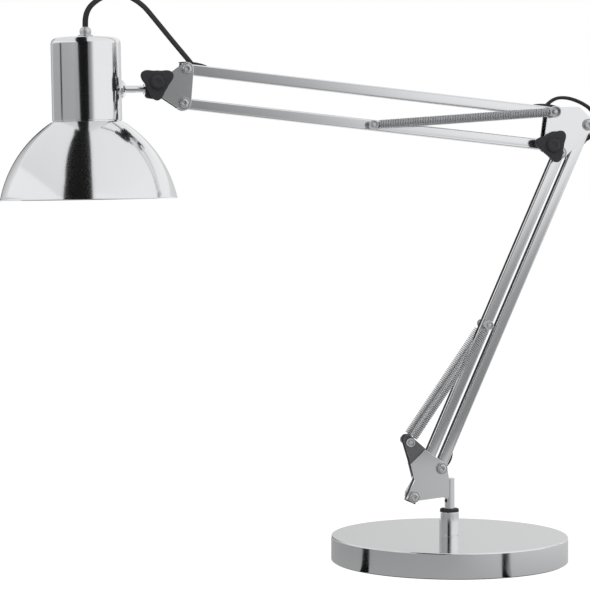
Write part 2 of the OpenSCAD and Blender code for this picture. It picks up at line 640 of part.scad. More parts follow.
base_cover();
base_weight();
base_pad();
ferrule();
ferrule_bush();
ferrule_nut();
lead_gland();
lead_run();
lead_coil();
lead_tail();
lead_tie();
plug_body();
plug_pins();
spigot();
spigot_saddle();
lower_plate_front();
lower_plate_back();
spring_anchors();
lower_pivot_bolts();
lower_spacers();
lower_spring_eyes();
lower_spring_front();
lower_spring_back();
bar_right();
bar_right_plugs();
bar_right_grommets();
bar_left();
bar_left_plug();
lower_spring_pin();
elbow_plate_front();
elbow_plate_back();
elbow_pivot_bolts();
elbow_spacers();
elbow_spring_pin();
elbow_bolt();
elbow_flex();
elbow_knob();
upper_bar_top();
upper_bar_top_plugs();
upper_bar_grommets();
upper_bar_low();
upper_bar_low_plug();
upper_spring_pin();
upper_spring_front();
upper_spring_back();
head_plate_front();
head_plate_back();
head_pivot_bolts();
head_spacers();
head_bolt();
head_flex();
head_knob();
knuckle();
head_rod();
rod_collar();
housing();
shade();
lampholder();
head_gland();
bulb();
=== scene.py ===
# Balanced-arm desk lamp: the visible pieces, their finishes, the stage and the camera.
# Run as a script in Blender 4.5. Shapes are drawn in millimetres and made in metres.
import math

import bmesh
import bpy
from bpy.props import FloatProperty, FloatVectorProperty, IntProperty, PointerProperty
from bpy.types import Operator, Panel, PropertyGroup
from mathutils import Matrix, Vector


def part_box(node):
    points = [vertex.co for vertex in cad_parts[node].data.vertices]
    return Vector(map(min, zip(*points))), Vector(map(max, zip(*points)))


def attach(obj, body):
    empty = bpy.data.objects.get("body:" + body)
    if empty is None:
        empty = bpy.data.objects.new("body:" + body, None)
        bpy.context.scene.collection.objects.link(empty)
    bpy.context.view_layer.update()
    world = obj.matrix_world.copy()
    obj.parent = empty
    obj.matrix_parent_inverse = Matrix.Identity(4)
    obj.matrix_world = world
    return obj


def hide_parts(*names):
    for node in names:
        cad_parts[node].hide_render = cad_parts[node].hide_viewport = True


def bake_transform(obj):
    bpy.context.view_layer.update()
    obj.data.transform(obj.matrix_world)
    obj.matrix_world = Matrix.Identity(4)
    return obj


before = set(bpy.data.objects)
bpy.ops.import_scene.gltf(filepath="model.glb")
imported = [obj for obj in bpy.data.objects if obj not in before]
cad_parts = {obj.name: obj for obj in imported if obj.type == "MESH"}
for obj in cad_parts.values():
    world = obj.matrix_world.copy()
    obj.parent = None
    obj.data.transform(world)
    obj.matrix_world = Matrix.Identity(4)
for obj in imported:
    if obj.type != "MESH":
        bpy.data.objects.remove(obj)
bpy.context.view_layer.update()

bl_info = {
    "name": "Balanced-arm desk lamp",
    "version": (1, 0, 0),
    "blender": (4, 5, 0),
    "location": "3D View > Sidebar > Lamp",
    "description": "Makes a chrome desk lamp with two sprung parallelogram arms",
    "category": "Object",
}

MM = 0.001


# ---- values a user would change ----


def length(name, default, description, low=0.0001, high=1.0):
    return FloatProperty(
        name=name,
        description=description,
        default=default,
        min=low,
        max=high,
        subtype="DISTANCE",
        unit="LENGTH",
        precision=4,
    )


def colour(name, default, description):
    return FloatVectorProperty(
        name=name,
        description=description,
        default=default,
        size=3,
        min=0.0,
        max=1.0,
        subtype="COLOR",
    )


def across_box(node, axis):
    low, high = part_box(node)
    return high[axis] - low[axis]


class LampSizes(PropertyGroup):
    base_diameter: length("Base diameter", across_box("base_cover", 0), "Width of the base")
    base_edge: length("Base edge", 0.0011, "Radius of the base's rounded edge")
    tube_width: length("Tube width", 0.010, "Width of the arms' square tube")
    tube_corner: length("Tube corner", 0.0014, "Radius of the square tube's corners")
    tube_crown: length("Tube crown", 0.00007, "How far the tube's faces bulge")
    plate_edge: length("Plate edge", 0.0003, "Radius of the side plates' edges")
    wire: length("Spring wire", 0.0012, "Diameter of the springs' wire")
    spring_radius: length("Spring radius", 0.0036, "Mean radius of a spring's coil")
    lower_turns: IntProperty(
        name="Lower spring turns", description="Coils of a lower spring", default=68, min=10, max=120
    )
    upper_turns: IntProperty(
        name="Upper spring turns", description="Coils of an upper spring", default=102, min=10, max=140
    )
    flex_width: length("Flex width", 0.0052, "Width of the flat flex on the arms")
    flex_thickness: length("Flex thickness", 0.0034, "Thickness of the flat flex on the arms")
    lead_diameter: length("Lead diameter", 0.0044, "Diameter of the round mains lead")
    shell: length("Shell", 0.0009, "Wall of the housing and the shade")
    rim_bead: length("Rim bead", 0.0008, "Radius of the rolled bead at the shade's rim")


class LampColours(PropertyGroup):
    chrome: colour("Chrome", (0.90, 0.905, 0.915), "Polished chrome of the base, arms and head")
    zinc: colour("Zinc", (0.74, 0.74, 0.75), "Plated bolts, nuts and pins")
    dark_steel: colour("Dark steel", (0.41, 0.41, 0.415), "Blackened inner plates and saddle")
    spring: colour("Spring steel", (0.86, 0.86, 0.87), "Wire of the springs")
    nylon: colour("Black nylon", (0.009, 0.009, 0.010), "Knobs, plugs, grommets and spacers")
    flex: colour("Flex", (0.014, 0.014, 0.015), "Sheath of the flex and the lead")
    iron: colour("Cast iron", (0.09, 0.088, 0.085), "Weight inside the base")
    felt: colour("Felt", (0.030, 0.030, 0.033), "Pad under the base")
    opal: colour("Opal", (0.86, 0.86, 0.83), "Glass of the bulb")


# ---- finishes ----

# For each slot: its colour, roughness from and to, how far the colour strays (mottle), marks per metre
# (grain), strength and depth of the relief, how much lighter worn edges are (wear), and the width of the
# gaps that it darkens with painted shade, where little light falls (gap_shade)
FINISHES = {
    "chrome": dict(tint="chrome", metal=1, rough=(0.014, 0.038), mottle=0.012, grain=40,
        bump=0.04, depth=0.00002, gap_shade=0.002),
    "zinc_steel": dict(tint="zinc", metal=1, rough=(0.06, 0.14), mottle=0.05, grain=260,
        bump=0.08, depth=0.00003, wear=0.08, gap_shade=0.0016),
    "dark_steel": dict(tint="dark_steel", metal=1, rough=(0.30, 0.48), mottle=0.12, grain=180,
        bump=0.15, depth=0.00005, wear=0.10, gap_shade=0.003),
    "spring_steel": dict(tint="spring", metal=1, rough=(0.10, 0.20), mottle=0.08, grain=300,
        bump=0.10, depth=0.00003, gap_shade=0.0005),
    "black_nylon": dict(tint="nylon", rough=(0.34, 0.50), mottle=0.15, grain=240,
        bump=0.22, depth=0.00006, wear=0.02, shine=0.25),
    "black_flex": dict(tint="flex", rough=(0.42, 0.58), mottle=0.15, grain=200, bump=0.18, depth=0.00006),
    "cast_iron": dict(tint="iron", metal=0.6, rough=(0.60, 0.80), mottle=0.20, grain=120,
        bump=0.50, depth=0.0003),
    "felt": dict(tint="felt", rough=(0.85, 0.98), mottle=0.35, grain=420, bump=0.80, depth=0.0003, sheen=0.4),
    "opal": dict(tint="opal", rough=(0.16, 0.24), mottle=0.015, grain=60, bump=0.03, depth=0.00003, coat=0.3),
}


class Graph:
    """Writes a node tree. An input takes a value, or the output that it is linked from."""

    def __init__(self, owner, clear=True):
        owner.use_nodes = True
        self.tree = owner.node_tree
        if clear:
            self.tree.nodes.clear()

    def feed(self, node, inputs):
        for socket, value in dict(inputs).items():
            if isinstance(value, bpy.types.NodeSocket):
                self.tree.links.new(value, node.inputs[socket])
            else:
                node.inputs[socket].default_value = value

    def add(self, kind, inputs=(), **settings):
        node = self.tree.nodes.new("ShaderNode" + kind)
        for key, value in settings.items():
            setattr(node, key, value)
        self.feed(node, inputs)
        return node


def value_noise(graph, scale, detail, rough=0.5):
    place = graph.add("TexCoord").outputs["Object"]
    inputs = {"Vector": place, "Scale": scale, "Detail": detail, "Roughness": rough}
    return graph.add("TexNoise", inputs).outputs["Fac"]


def remap(graph, source, start, end, low=0, high=1):
    """Carry a value from start..end over to low..high."""
    inputs = {"Value": source, "From Min": start, "From Max": end, "To Min": low, "To Max": high}
    return graph.add("MapRange", inputs).outputs["Result"]


def worn_edges(graph, paint, worn):
    """Show the worn colour along sharp edges."""
    edge = remap(graph, graph.add("NewGeometry").outputs["Pointiness"], 0.52, 0.62)
    inputs = {"Factor": edge, "A": paint, "B": (*worn, 1)}
    return graph.add("Mix", inputs, data_type="RGBA").outputs["Result"]


def shaded_gaps(graph, paint, reach):
    """Painted shade: darken the colour in grooves and gaps narrower than reach, where little light falls."""
    gaps = graph.add("AmbientOcclusion", {"Distance": reach}, samples=8).outputs["AO"]
    inputs = {"Factor": 1, "A": paint, "B": remap(graph, gaps, 0.25, 0.85, 0.10)}
    return graph.add("Mix", inputs, data_type="RGBA", blend_type="MULTIPLY").outputs["Result"]


def surface(
    name, tint, rough, mottle, grain, bump, depth, metal=0, wear=0, coat=0, sheen=0, gap_shade=0, shine=0.5
):
    """One procedural finish: mottled colour, uneven roughness and a fine relief."""
    tint = getattr(bpy.context.scene.lamp_colours, tint)
    material = bpy.data.materials.new(name)
    graph = Graph(material, clear=False)
    material.diffuse_color = (*tint, 1)
    fine = value_noise(graph, grain * 9, 5, 0.6)
    tone = graph.add("ValToRGB", {"Fac": value_noise(graph, grain, 3)})
    dark, light = tone.color_ramp.elements
    dark.position, light.position = 0.32, 0.68
    dark.color = (*[c * (1 - mottle) for c in tint], 1)
    light.color = (*[min(1, c * (1 + mottle)) for c in tint], 1)
    paint = tone.outputs["Color"]
    if wear:
        paint = worn_edges(graph, paint, [min(1, c + wear) for c in tint])
    # Painted shade: the colour is darkened in narrow gaps and grooves, where light hardly reaches
    if gap_shade:
        paint = shaded_gaps(graph, paint, gap_shade)
    relief = graph.add("Bump", {"Strength": bump, "Distance": depth, "Height": fine})
    shader = {
        "Metallic": metal,
        "Coat Weight": coat,
        "Sheen Weight": sheen,
        "Specular IOR Level": shine,
        "Base Color": paint,
        "Roughness": remap(graph, fine, 0.3, 0.7, *rough),
        "Normal": relief.outputs["Normal"],
    }
    graph.feed(graph.tree.nodes["Principled BSDF"], shader)
    return material


def finish(slot):
    """The finish of one of the record's material slots."""
    return bpy.data.materials.get(slot) or surface(slot, **FINISHES[slot])


def refinish(slot, *names):
    """Give CAD nodes whose shape stays the detailed finish of their slot."""
    for name in names:
        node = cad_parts[name]
        if not node.material_slots:
            node.data.materials.append(finish(slot))
        for place in node.material_slots:
            place.material = finish(slot)


# ---- shapes ----


def rad(degrees):
    return math.radians(degrees)


def polar(origin, degrees, distance):
    turn = rad(degrees)
    return (origin[0] + distance * math.cos(turn), origin[1] + distance * math.sin(turn))


def offset(p, dx, dz):
    return (p[0] + dx, p[1] + dz)


def arc(cx, cy, r, start, end, steps):
    return [polar((cx, cy), start + (end - start) * i / steps, r) for i in range(steps + 1)]


def rounded(corners, step=9):
    """Outline round corners given anticlockwise as (x, z, radius)."""

    def turn(a, b):
        dx, dz = b[0] - a[0], b[1] - a[1]
        lean = math.acos((a[2] - b[2]) / math.hypot(dx, dz))
        return math.degrees(math.atan2(dz, dx)) - math.degrees(lean)

    points = []
    for i, (x, z, r) in enumerate(corners):
        here, after = corners[i], corners[(i + 1) % len(corners)]
        start = turn(corners[i - 1], here)
        sweep = (turn(here, after) - start + 720) % 360
        if sweep > 180 or r == 0:
            points.append((x, z))
        else:
            points += arc(x, z, r, start, start + sweep, max(3, math.ceil(sweep / step)))
    return points


def at(p, y=0.0):
    """A place on the arm plane's point p at depth y."""
    return Vector((p[0], y, p[1]))


def facing(p, y, front=True):
    """Local Z runs from depth y at p toward the front, or toward the back."""
    turn = Matrix.Rotation(rad(90 if front else -90), 4, "X")
    return Matrix.Translation(at(p, y)) @ turn


def along(a, b):
    """Local X runs from a to b in the arm plane and local Y stays the frame's."""
    angle = math.atan2(b[1] - a[1], b[0] - a[0])
    return Matrix.Translation(at(a)) @ Matrix.Rotation(-angle, 4, "Y")


def hexagon(r):
    """Radius of a hexagon round the angle, with r at its corners."""

    def radius(a):
        part = (a + math.tau) % (math.pi / 3) - math.pi / 6
        return r * math.cos(math.pi / 6) / math.cos(part)

    return radius


class Shape:
    """Closed surfaces gathered into one mesh, in millimetres."""

    def __init__(self):
        self.points = []
        self.faces = []

    def loft(self, rings, loop=False, place=Matrix()):
        n, count, first = len(rings[0]), len(rings), len(self.points)
        for ring in rings:
            self.points += [place @ Vector(p) for p in ring]
        for i in range(count if loop else count - 1):
            a, b = first + i * n, first + (i + 1) % count * n
            for k in range(n):
                m = (k + 1) % n
                self.faces.append((a + k, a + m, b + m, b + k))
        if not loop:
            for start in (first, first + (count - 1) * n):
                if (self.points[start] - self.points[start + n // 2]).length > 0.01:
                    self.faces.append(tuple(range(start, start + n)))
        return self

    def turn(self, profile, place=Matrix(), sides=48, loop=False):
        """Revolve a profile of (radius, height); a radius may be a function of the angle."""
        rings = []
        for r, h in profile:
            ring = []
            for k in range(sides):
                a = math.tau * k / sides
                s = r(a) if callable(r) else r
                ring.append((s * math.cos(a), s * math.sin(a), h))
            rings.append(ring)
        return self.loft(rings, loop, place)

    def slab(self, outline, back, front, place=Matrix()):
        return self.loft([[(x, y, z) for x, z in outline] for y in (back, front)], place=place)

    def sweep(self, path, section, side=(0, 1, 0), twist=None, place=Matrix()):
        """Carry a section of (u, v) along a path; u starts on side and twist turns it in degrees."""
        path = [Vector(p) for p in path]
        lead, rings = Vector(side), []
        for i, p in enumerate(path):
            tangent = (path[min(i + 1, len(path) - 1)] - path[max(i - 1, 0)]).normalized()
            lead = (lead - lead.dot(tangent) * tangent).normalized()
            across = tangent.cross(lead)
            a = rad(twist(i / (len(path) - 1))) if twist else 0
            u = lead * math.cos(a) + across * math.sin(a)
            v = tangent.cross(u)
            rings.append([p + s * u + t * v for s, t in section])
        return self.loft(rings, place=place)

    def make(self, name, slot, body=None, replaces=(), edge=0.0, sharp=38, even=True):
        """Weld the surfaces, round their corners by edge, and set the finished piece on its body."""
        mesh = bpy.data.meshes.new(name)
        mesh.from_pydata([p * MM for p in self.points], [], self.faces)
        work = bmesh.new()
        work.from_mesh(mesh)
        bmesh.ops.remove_doubles(work, verts=work.verts, dist=2e-6)
        bmesh.ops.dissolve_degenerate(work, edges=work.edges, dist=1e-6)
        bmesh.ops.recalc_face_normals(work, faces=work.faces)
        if edge:
            corners = [e for e in work.edges if e.is_manifold and e.calc_face_angle() > rad(50)]
            bmesh.ops.bevel(work, geom=corners, offset=edge, offset_type="OFFSET", segments=3,
                profile=0.5, affect="EDGES", clamp_overlap=True)
        work.to_mesh(mesh)
        work.free()
        mesh.shade_smooth()
        mesh.set_sharp_from_angle(angle=rad(sharp))
        mesh.materials.append(finish(slot))
        piece = bpy.data.objects.new(name, mesh)
        bpy.context.scene.collection.objects.link(piece)
        if even:
            piece.modifiers.new("even_normals", "WEIGHTED_NORMAL").keep_sharp = True
        if replaces:
            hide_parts(*replaces)
        if body:
            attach(piece, body)
        return piece


def turned(name, slot, body, node, profile, place=Matrix(), sides=48, sharp=38):
    """A piece that is one ring: its closed profile turned round the place's Z."""
    return Shape().turn(profile, place, sides, loop=True).make(name, slot, body, [node], sharp=sharp)


def both(y):
    """Front and back depths with the way that each faces."""
    return ((-y, True), (y, False))


# ---- where the arms' pivots are, in millimetres ----

PLATE_IN, PLATE_OUT, WASHER_OUT = 6.5, 8, 8.8
HALF_TUBE = 5
LOWER_LEAN, LOWER_LENGTH = 66.5, 346.8
UPPER_LEAN, UPPER_LENGTH = 173.8, 342.5
FOOT_LEFT = (-35.4, 60.9)
FOOT_RIGHT = offset(FOOT_LEFT, 26, 26)
TOP_LEFT = polar(FOOT_LEFT, LOWER_LEAN, LOWER_LENGTH)
TOP_RIGHT = polar(FOOT_RIGHT, LOWER_LEAN, LOWER_LENGTH)
ELBOW_LOW = offset(TOP_LEFT, -10.7, 6.7)
ELBOW_TOP = offset(ELBOW_LOW, 2.8, 30.9)
WRIST_LOW = polar(ELBOW_LOW, UPPER_LEAN, UPPER_LENGTH)
WRIST_TOP = polar(ELBOW_TOP, UPPER_LEAN, UPPER_LENGTH)
TILT = offset(WRIST_TOP, -28.1, -12.7)
ROD_Z = TILT[1] - 6.4
HEAD_X = TILT[0] - 61.8
ANCHOR = (-40, 112)
LOWER_HOOK = polar(FOOT_LEFT, LOWER_LEAN, 173)
UPPER_HOOK = polar(ELBOW_LOW, UPPER_LEAN, 168.5)
LOWER_SPRING_Y, UPPER_SPRING_Y = 12, 12.5
HEAD = Matrix.Translation((HEAD_X, 0, ROD_Z)) @ Matrix.Rotation(rad(-1), 4, "Y")
SEAM, HOUSING_H, HOUSING_R = -28.9, 75.3, 31.4
TOP = SEAM + HOUSING_H


# ---- the flex and the mains lead ----

# The lead's place behind the base, with its route in the frame turned by LEAD_TURN
LEAD_TURN, GLAND_TURN, GLAND_Z, GLAND_TIP = -13, 15, 10, 137
RUN_POINTS = (
    (-37.6, 141.4, 9.4), (-38.2, 147, 7.5), (-37.8, 153, 5.2), (-36.4, 159.4, 3.5),
    (-33.6, 165.6, 2.9), (-29, 171.6, 2.8), (-22.6, 176.6, 2.8),
)
TAIL_POINTS = ((47.8, 138, 7.1), (49, 134, 6.3), (51.2, 129.8, 5.9), (54.4, 125.6, 6.1))
COIL_CENTRE, COIL_R, COIL_LAP, COIL_LIFT = (10, 152), 37.5, 4.85, 0.6
COIL_FROM, COIL_TURNS, COIL_STEPS = 60, 3.6667, 300
COIL_SWEEP = 720 * COIL_TURNS
PLUG_ENTRY = Vector((61.5, 118.4, 6.9))
PLUG_DIR = Vector((1.1, -1, 0)).normalized()

# Routes of the two free loops of flex in the arm plane
ELBOW_FLEX = (
    (86.6, 418.8), (90.2, 422.2), (94.2, 425.8), (98.2, 428.4), (102.4, 429.8), (107.2, 430.1),
    (112.7, 429.5), (118.2, 428), (123.6, 425.8), (128.3, 423.3), (132.6, 420.2), (137, 414.8),
    (139.4, 408.4), (139, 401.6), (135.8, 396), (131.2, 392.3), (127.2, 390.4),
)
HEAD_FLEX = (
    (-336.3, 488.5), (-336.4, 493), (-336.2, 498), (-335, 503.4), (-332.2, 508.6), (-328, 512.8),
    (-322.4, 516.6), (-315, 519.4), (-307, 520.4), (-299, 519), (-291.2, 515.2), (-285.6, 511.2),
    (-280.8, 506.6), (-270.4, 494.2), (-257.5, 478.6), (-245.6, 464.6), (-242, 460.2), (-239.4, 456.8),
)
# Steps of a path between two of its points
PATH_STEPS = 4
# Stretches of each loop: name, first and last step of the path, and the bodies at its ends
ELBOW_STRETCHES = (
    ("elbow_flex_upper", 0, 32, ("upper_arm", "elbow")),
    ("elbow_flex_lower", 32, 64, ("elbow", "lower_arm")),
)
HEAD_STRETCHES = (
    ("head_flex_rise", 0, 28, ("head", "knuckle")),
    ("head_flex_bow", 28, 52, ("knuckle", "head_bracket")),
    ("head_flex_fall", 52, 68, ("head_bracket", "upper_arm")),
)


def smooth_path(points):
    """A smooth curve through given points."""
    p = [Vector(q) for q in points]
    out = []
    for i in range(len(p) - 1):
        a, b, c, d = p[max(i - 1, 0)], p[i], p[i + 1], p[min(i + 2, len(p) - 1)]
        for s in range(PATH_STEPS):
            t = s / PATH_STEPS
            bend = (2 * a - 5 * b + 4 * c - d) * t * t + (3 * b - a - 3 * c + d) * t**3
            out.append(0.5 * (2 * b + (c - a) * t + bend))
    return [*out, p[-1]]


def coil_point(a, low):
    """The stored coil after a degrees: in on its first layer and out on its second."""
    half = COIL_SWEEP / 2
    r = COIL_R - COIL_TURNS * COIL_LAP * min(a, COIL_SWEEP - a) / half
    climb = min(1, max(0, (a - half + 90) / 180))
    z = low + COIL_LAP * climb * climb * (3 - 2 * climb)
    heading = rad(COIL_FROM + a)
    return Vector((COIL_CENTRE[0] - r * math.cos(heading), COIL_CENTRE[1] + r * math.sin(heading), z))


def coil_way(a):
    """The way that the coil runs after a degrees."""
    return Vector((math.sin(rad(COIL_FROM + a)), math.cos(rad(COIL_FROM + a)), 0))


def lead_path(d):
    """From the base's gland round the stored coil to the plug, for a lead of diameter d."""
    gland_dir = Vector((-math.sin(rad(GLAND_TURN)), math.cos(rad(GLAND_TURN)), 0))
    gland = Vector((0, 0, GLAND_Z)) + GLAND_TIP * gland_dir
    low = d / 2 + COIL_LIFT
    coil = [coil_point(COIL_SWEEP * i / COIL_STEPS, low) for i in range(COIL_STEPS + 1)]
    into, out = coil_way(0), coil_way(COIL_SWEEP)
    start = [gland - 4 * gland_dir, gland, gland + d * gland_dir]
    run = smooth_path([*start, *RUN_POINTS, coil[0] - 9 * into])
    end = [PLUG_ENTRY - d * PLUG_DIR, PLUG_ENTRY]
    tail = smooth_path([coil[-1] + 1.2 * d * out, coil[-1] + 2.2 * d * out, *TAIL_POINTS, *end])
    turn = Matrix.Rotation(rad(LEAD_TURN), 4, "Z")
    return [turn @ p for p in [*run, coil[0] - 4 * into, *coil, *tail]]


def round_section(d, sides):
    return [
        (d / 2 * math.cos(math.tau * k / sides), d / 2 * math.sin(math.tau * k / sides))
        for k in range(sides)
    ]


def twin_section(width, thickness, sides=28):
    """Two cores side by side with a shallow groove between them."""
    points = []
    for k in range(sides):
        a = math.tau * k / sides
        u = width / 2 * math.copysign(abs(math.cos(a)) ** 0.85, math.cos(a))
        groove = 1 - 0.15 * math.exp(-((u / (0.16 * width)) ** 2))
        points.append((u, thickness / 2 * groove * math.copysign(abs(math.sin(a)) ** 0.85, math.sin(a))))
    return points


def flex_loop(node, points, stretches, lean):
    """A free loop of the arms' flex, in one stretch for each joint that it crosses.
    lean turns the flat section, in degrees, at a share of the way along."""
    size = bpy.context.scene.lamp_sizes
    path = smooth_path([at(p) for p in points])
    section = twin_section(size.flex_width / MM, size.flex_thickness / MM)
    for name, first, last, bodies in stretches:

        def turn(t):
            return lean((first + t * (last - first)) / (len(path) - 1))

        part = path[first : last + 1]
        piece = Shape().sweep(part, section, twist=turn).make(
            name, "black_flex", replaces=[node], even=False
        )
        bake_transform(piece)


class LAMP_OT_cords(Operator):
    """Make the flex loops at the elbow and the head, and the mains lead with its plug"""

    bl_idname = "lamp.cords"
    bl_label = "Flex and mains lead"

    def execute(self, context):
        flex_loop("elbow_flex", ELBOW_FLEX, ELBOW_STRETCHES, lambda t: 0)
        flex_loop("head_flex", HEAD_FLEX, HEAD_STRETCHES, lambda t: 90 - 35 * min(1, t / 0.25))
        diameter = context.scene.lamp_sizes.lead_diameter
        path = lead_path(diameter / MM)
        lead = Shape().sweep(path, round_section(diameter / MM, 14), side=(0, 0, 1))
        solids = ["lead_run", "lead_coil", "lead_tail"]
        lead = lead.make("mains_lead", "black_flex", "base", solids, even=False)
        self.plug()
        refinish("black_nylon", "lead_tie")
        return {"FINISHED"}

    def plug(self):
        """The plug's shell, with its ribbed sleeve, and its two pins."""
        turn = Matrix.Rotation(rad(LEAD_TURN), 4, "Z")
        heading = Matrix.Rotation(math.atan2(PLUG_DIR.y, PLUG_DIR.x), 4, "Z")
        place = turn @ Matrix.Translation(PLUG_ENTRY) @ heading
        outward = Matrix.Rotation(rad(90), 4, "Y")
        sleeve = [(2.25, 0), (2.9, 0), (3.2, 0.3)]
        for k in range(5):
            x = 1.5 + 2 * k
            sleeve += [(3.3 + 0.12 * x, x), (3.3 + 0.12 * x, x + 1.2)]
            sleeve += [(2.7 + 0.12 * x, x + 1.3), (2.7 + 0.12 * x, x + 1.9)]
        sleeve += [(4.5, 12), (4.5, 13.5), (2.25, 13.5)]
        body = Shape().turn(sleeve, place @ outward, 32, loop=True)
        outline = rounded(
            [(13, -4.5, 1), (24, -9.5, 3), (36, -10, 2.5), (36, 10, 2.5), (24, 9.5, 3), (13, 4.5, 1)]
        )
        middle, half_width = 25.5, 12
        rounding = ((6.5, 1.4), (6.1, 0.6), (5.3, 0.1), (4.6, 0))
        rings = []
        for z, inset in [(-z, inset) for z, inset in rounding] + [*reversed(rounding)]:
            scale = 1 - inset / half_width
            rings.append([(middle + (x - middle) * scale, y * scale, z) for x, y in outline])
        body.loft(rings, place=place)
        body = body.make("plug_shell", "black_nylon", "base", ["plug_body"])
        pins = Shape()
        for side in (-6.5, 6.5):
            pin = place @ Matrix.Translation((36.5, side, 0)) @ outward
            pins.turn([(0, 0), (2, 0), (2, 18.2), *arc(0, 18.9, 2, 0, 90, 6)[1:]], pin, 32)
        pins = pins.make("plug_contacts", "zinc_steel", "base", ["plug_pins"])
        return [body, pins]


# ---- base and turret ----


class LAMP_OT_base(Operator):
    """Make the round base with its ferrule, the lead's gland and the turning spigot"""

    bl_idname = "lamp.base"
    bl_label = "Base"

    def execute(self, context):
        size = context.scene.lamp_sizes
        r, edge = size.base_diameter / MM / 2, size.base_edge / MM
        high, low, wall = 23.5, 0.8, 1
        cover = [
            *((7.1, high - wall), (7.1, high), (30, high), (r - edge - 0.4, high)),
            *arc(r - edge, high - edge, edge, 90, 0, 14),
            *((r, high - edge - 0.4), (r, low + 0.3), (r - 0.3, low), (r - wall, low)),
            *arc(r - edge, high - edge, edge - wall, 0, 90, 8),
        ]
        turned("base_shell", "chrome", "base", "base_cover", cover, sides=288)
        ferrule = [
            *((5.05, 39.5), (6.55, 39.5), (6.55, 45.5), (8.6, 45.5)),
            *arc(8.6, 45.1, 0.5, 90, 0, 5)[1:],
            *((9.1, 44.6), (9.1, 24.4), (9, 23.8), (9, high), (6.9, high - 0.1)),
            *((6.9, 4.5), (3.6, 4.5), (3.6, 8), (5.05, 8)),
        ]
        turned("base_ferrule", "chrome", "base", "ferrule", ferrule, sides=96)
        self.lead_sleeve(r)
        refinish("felt", "base_pad")
        refinish("cast_iron", "base_weight")
        refinish("zinc_steel", "ferrule_nut")
        refinish("black_nylon", "ferrule_bush")
        refinish("chrome", "spigot")
        return {"FINISHED"}

    def lead_sleeve(self, r):
        """Tapered, ribbed sleeve that the lead leaves the base through."""
        out = Matrix.Rotation(rad(LEAD_TURN + GLAND_TURN), 4, "Z")
        out = out @ Matrix.Translation((0, r, GLAND_Z)) @ Matrix.Rotation(rad(-90), 4, "X")
        sleeve = [(2.3, -6), (4, -6), (4, 0.05), (5.7, 0.05), (6, 0.35), (6, 2.1), (5.6, 2.5), (4.7, 2.8)]
        for k in range(8):
            z = 4 + 2.6 * k
            s = 4.55 - 0.055 * z
            sleeve += [(s, z), (s - 0.05, z + 1.5), (s - 0.7, z + 1.65), (s - 0.75, z + 2.45)]
        sleeve += [(3.1, 25.2), (3, 27), (2.3, 27)]
        turned("lead_sleeve", "black_nylon", "base", "lead_gland", sleeve, out, 40)


def side_plates(name, node, body, corners):
    """The front and back plates of one joint, with bright rounded edges."""
    edge = bpy.context.scene.lamp_sizes.plate_edge
    for side, where in ((-1, "front"), (1, "back")):
        plate = Shape().slab(rounded(corners), side * PLATE_OUT, side * PLATE_IN)
        plate.make(f"{name}_{where}", "chrome", body, [f"{node}_{where}"], edge=edge)


class LAMP_OT_plates(Operator):
    """Make the three pairs of side plates that join the arms"""

    bl_idname = "lamp.plates"
    bl_label = "Side plates"

    def execute(self, context):
        foot = [
            *((*offset(FOOT_LEFT, -0.4, 0.9), 5.2), (-8, 59.8, 1), (-3.6, 60.2, 1.2), (-3.4, 78.6, 1)),
            *((*FOOT_RIGHT, 5.6), (-25.1, 103.3, 1), (-37, 91, 1.3), (-34.2, 74.8, 0)),
        ]
        elbow = [
            *((*ELBOW_LOW, 5.8), (*offset(TOP_LEFT, -1, 0), 6.5), (*TOP_RIGHT, 6.6)),
            *((119.6, 418.9, 2.5), (*ELBOW_TOP, 4.6)),
        ]
        head = [(*WRIST_LOW, 6.6), (*WRIST_TOP, 6.2), (*offset(TILT, 4, 2), 7.2), (*TILT, 8)]
        side_plates("foot_plate", "lower_plate", "turret", foot)
        side_plates("elbow_cheek", "elbow_plate", "elbow", elbow)
        side_plates("head_cheek", "head_plate", "head_bracket", head)
        self.anchors()
        refinish("dark_steel", "spigot_saddle")
        refinish("black_nylon", "lower_spacers", "elbow_spacers", "head_spacers")
        return {"FINISHED"}

    def anchors(self):
        """Dark inner plates that carry the lower springs' pins."""
        plates, pins = Shape(), Shape()
        corners = [(-31.5, 76, 1), (-15, 88, 1), (-24.6, 104.2, 1), (-40.6, 113.9, 4.2), (-36.8, 90.2, 1)]
        inner = PLATE_IN - 1.2
        for side in (-1, 1):
            plates.slab(rounded(corners), side * inner, side * (PLATE_IN - 0.02))
        plates.make("anchor_plates", "dark_steel", "turret", ["spring_anchors"], edge=0.0002)
        for depth, front in both(inner):
            rod(pins, ANCHOR, depth, 8.7, 2.15, front)
        for depth, front in both(14):
            ring_head(pins, ANCHOR, depth, front, 4, 1.7)
        pins.make("anchor_pins", "zinc_steel", "turret", ["spring_anchors"])


# ---- arms ----


def bar_section(half, corner, crown):
    """Square with slightly bulging faces and round corners."""
    edge = half - corner
    side = [(edge * k / 4, half - crown * (k / 4) ** 2) for k in range(-4, 5)]
    side += arc(edge, edge - crown, corner, 80, 10, 6)
    points = []
    for quarter in range(4):
        c, d = ((1, 0), (0, -1), (-1, 0), (0, 1))[quarter]
        points += [(u * c - v * d, u * d + v * c) for u, v in side]
    return points


def square_bar(name, node, body, a, b, round_end):
    """A tube from pivot a to pivot b, cut square past them, or rounded where it ends at b."""
    size = bpy.context.scene.lamp_sizes
    run = math.dist(a, b)
    over, half = 5.2, size.tube_width / MM / 2
    section = bar_section(half, size.tube_corner / MM, size.tube_crown / MM)
    square = ((over, 0.94), (over - 0.12, 0.98), (over - 0.35, 1))
    stations = [(-x, s, s) for x, s in square]
    if round_end:
        turns = [rad(88 * k / 12) for k in range(13)]
        stations += [(run + half * math.sin(turn), 1, math.cos(turn)) for turn in turns]
    else:
        stations += [(run + x, s, s) for x, s in reversed(square)]
    rings = [[(x, y * u, z * v) for y, z in section] for x, u, v in stations]
    bar = Shape().loft(rings, place=along(a, b))
    return bar.make(name, "chrome", body, [node], sharp=30)


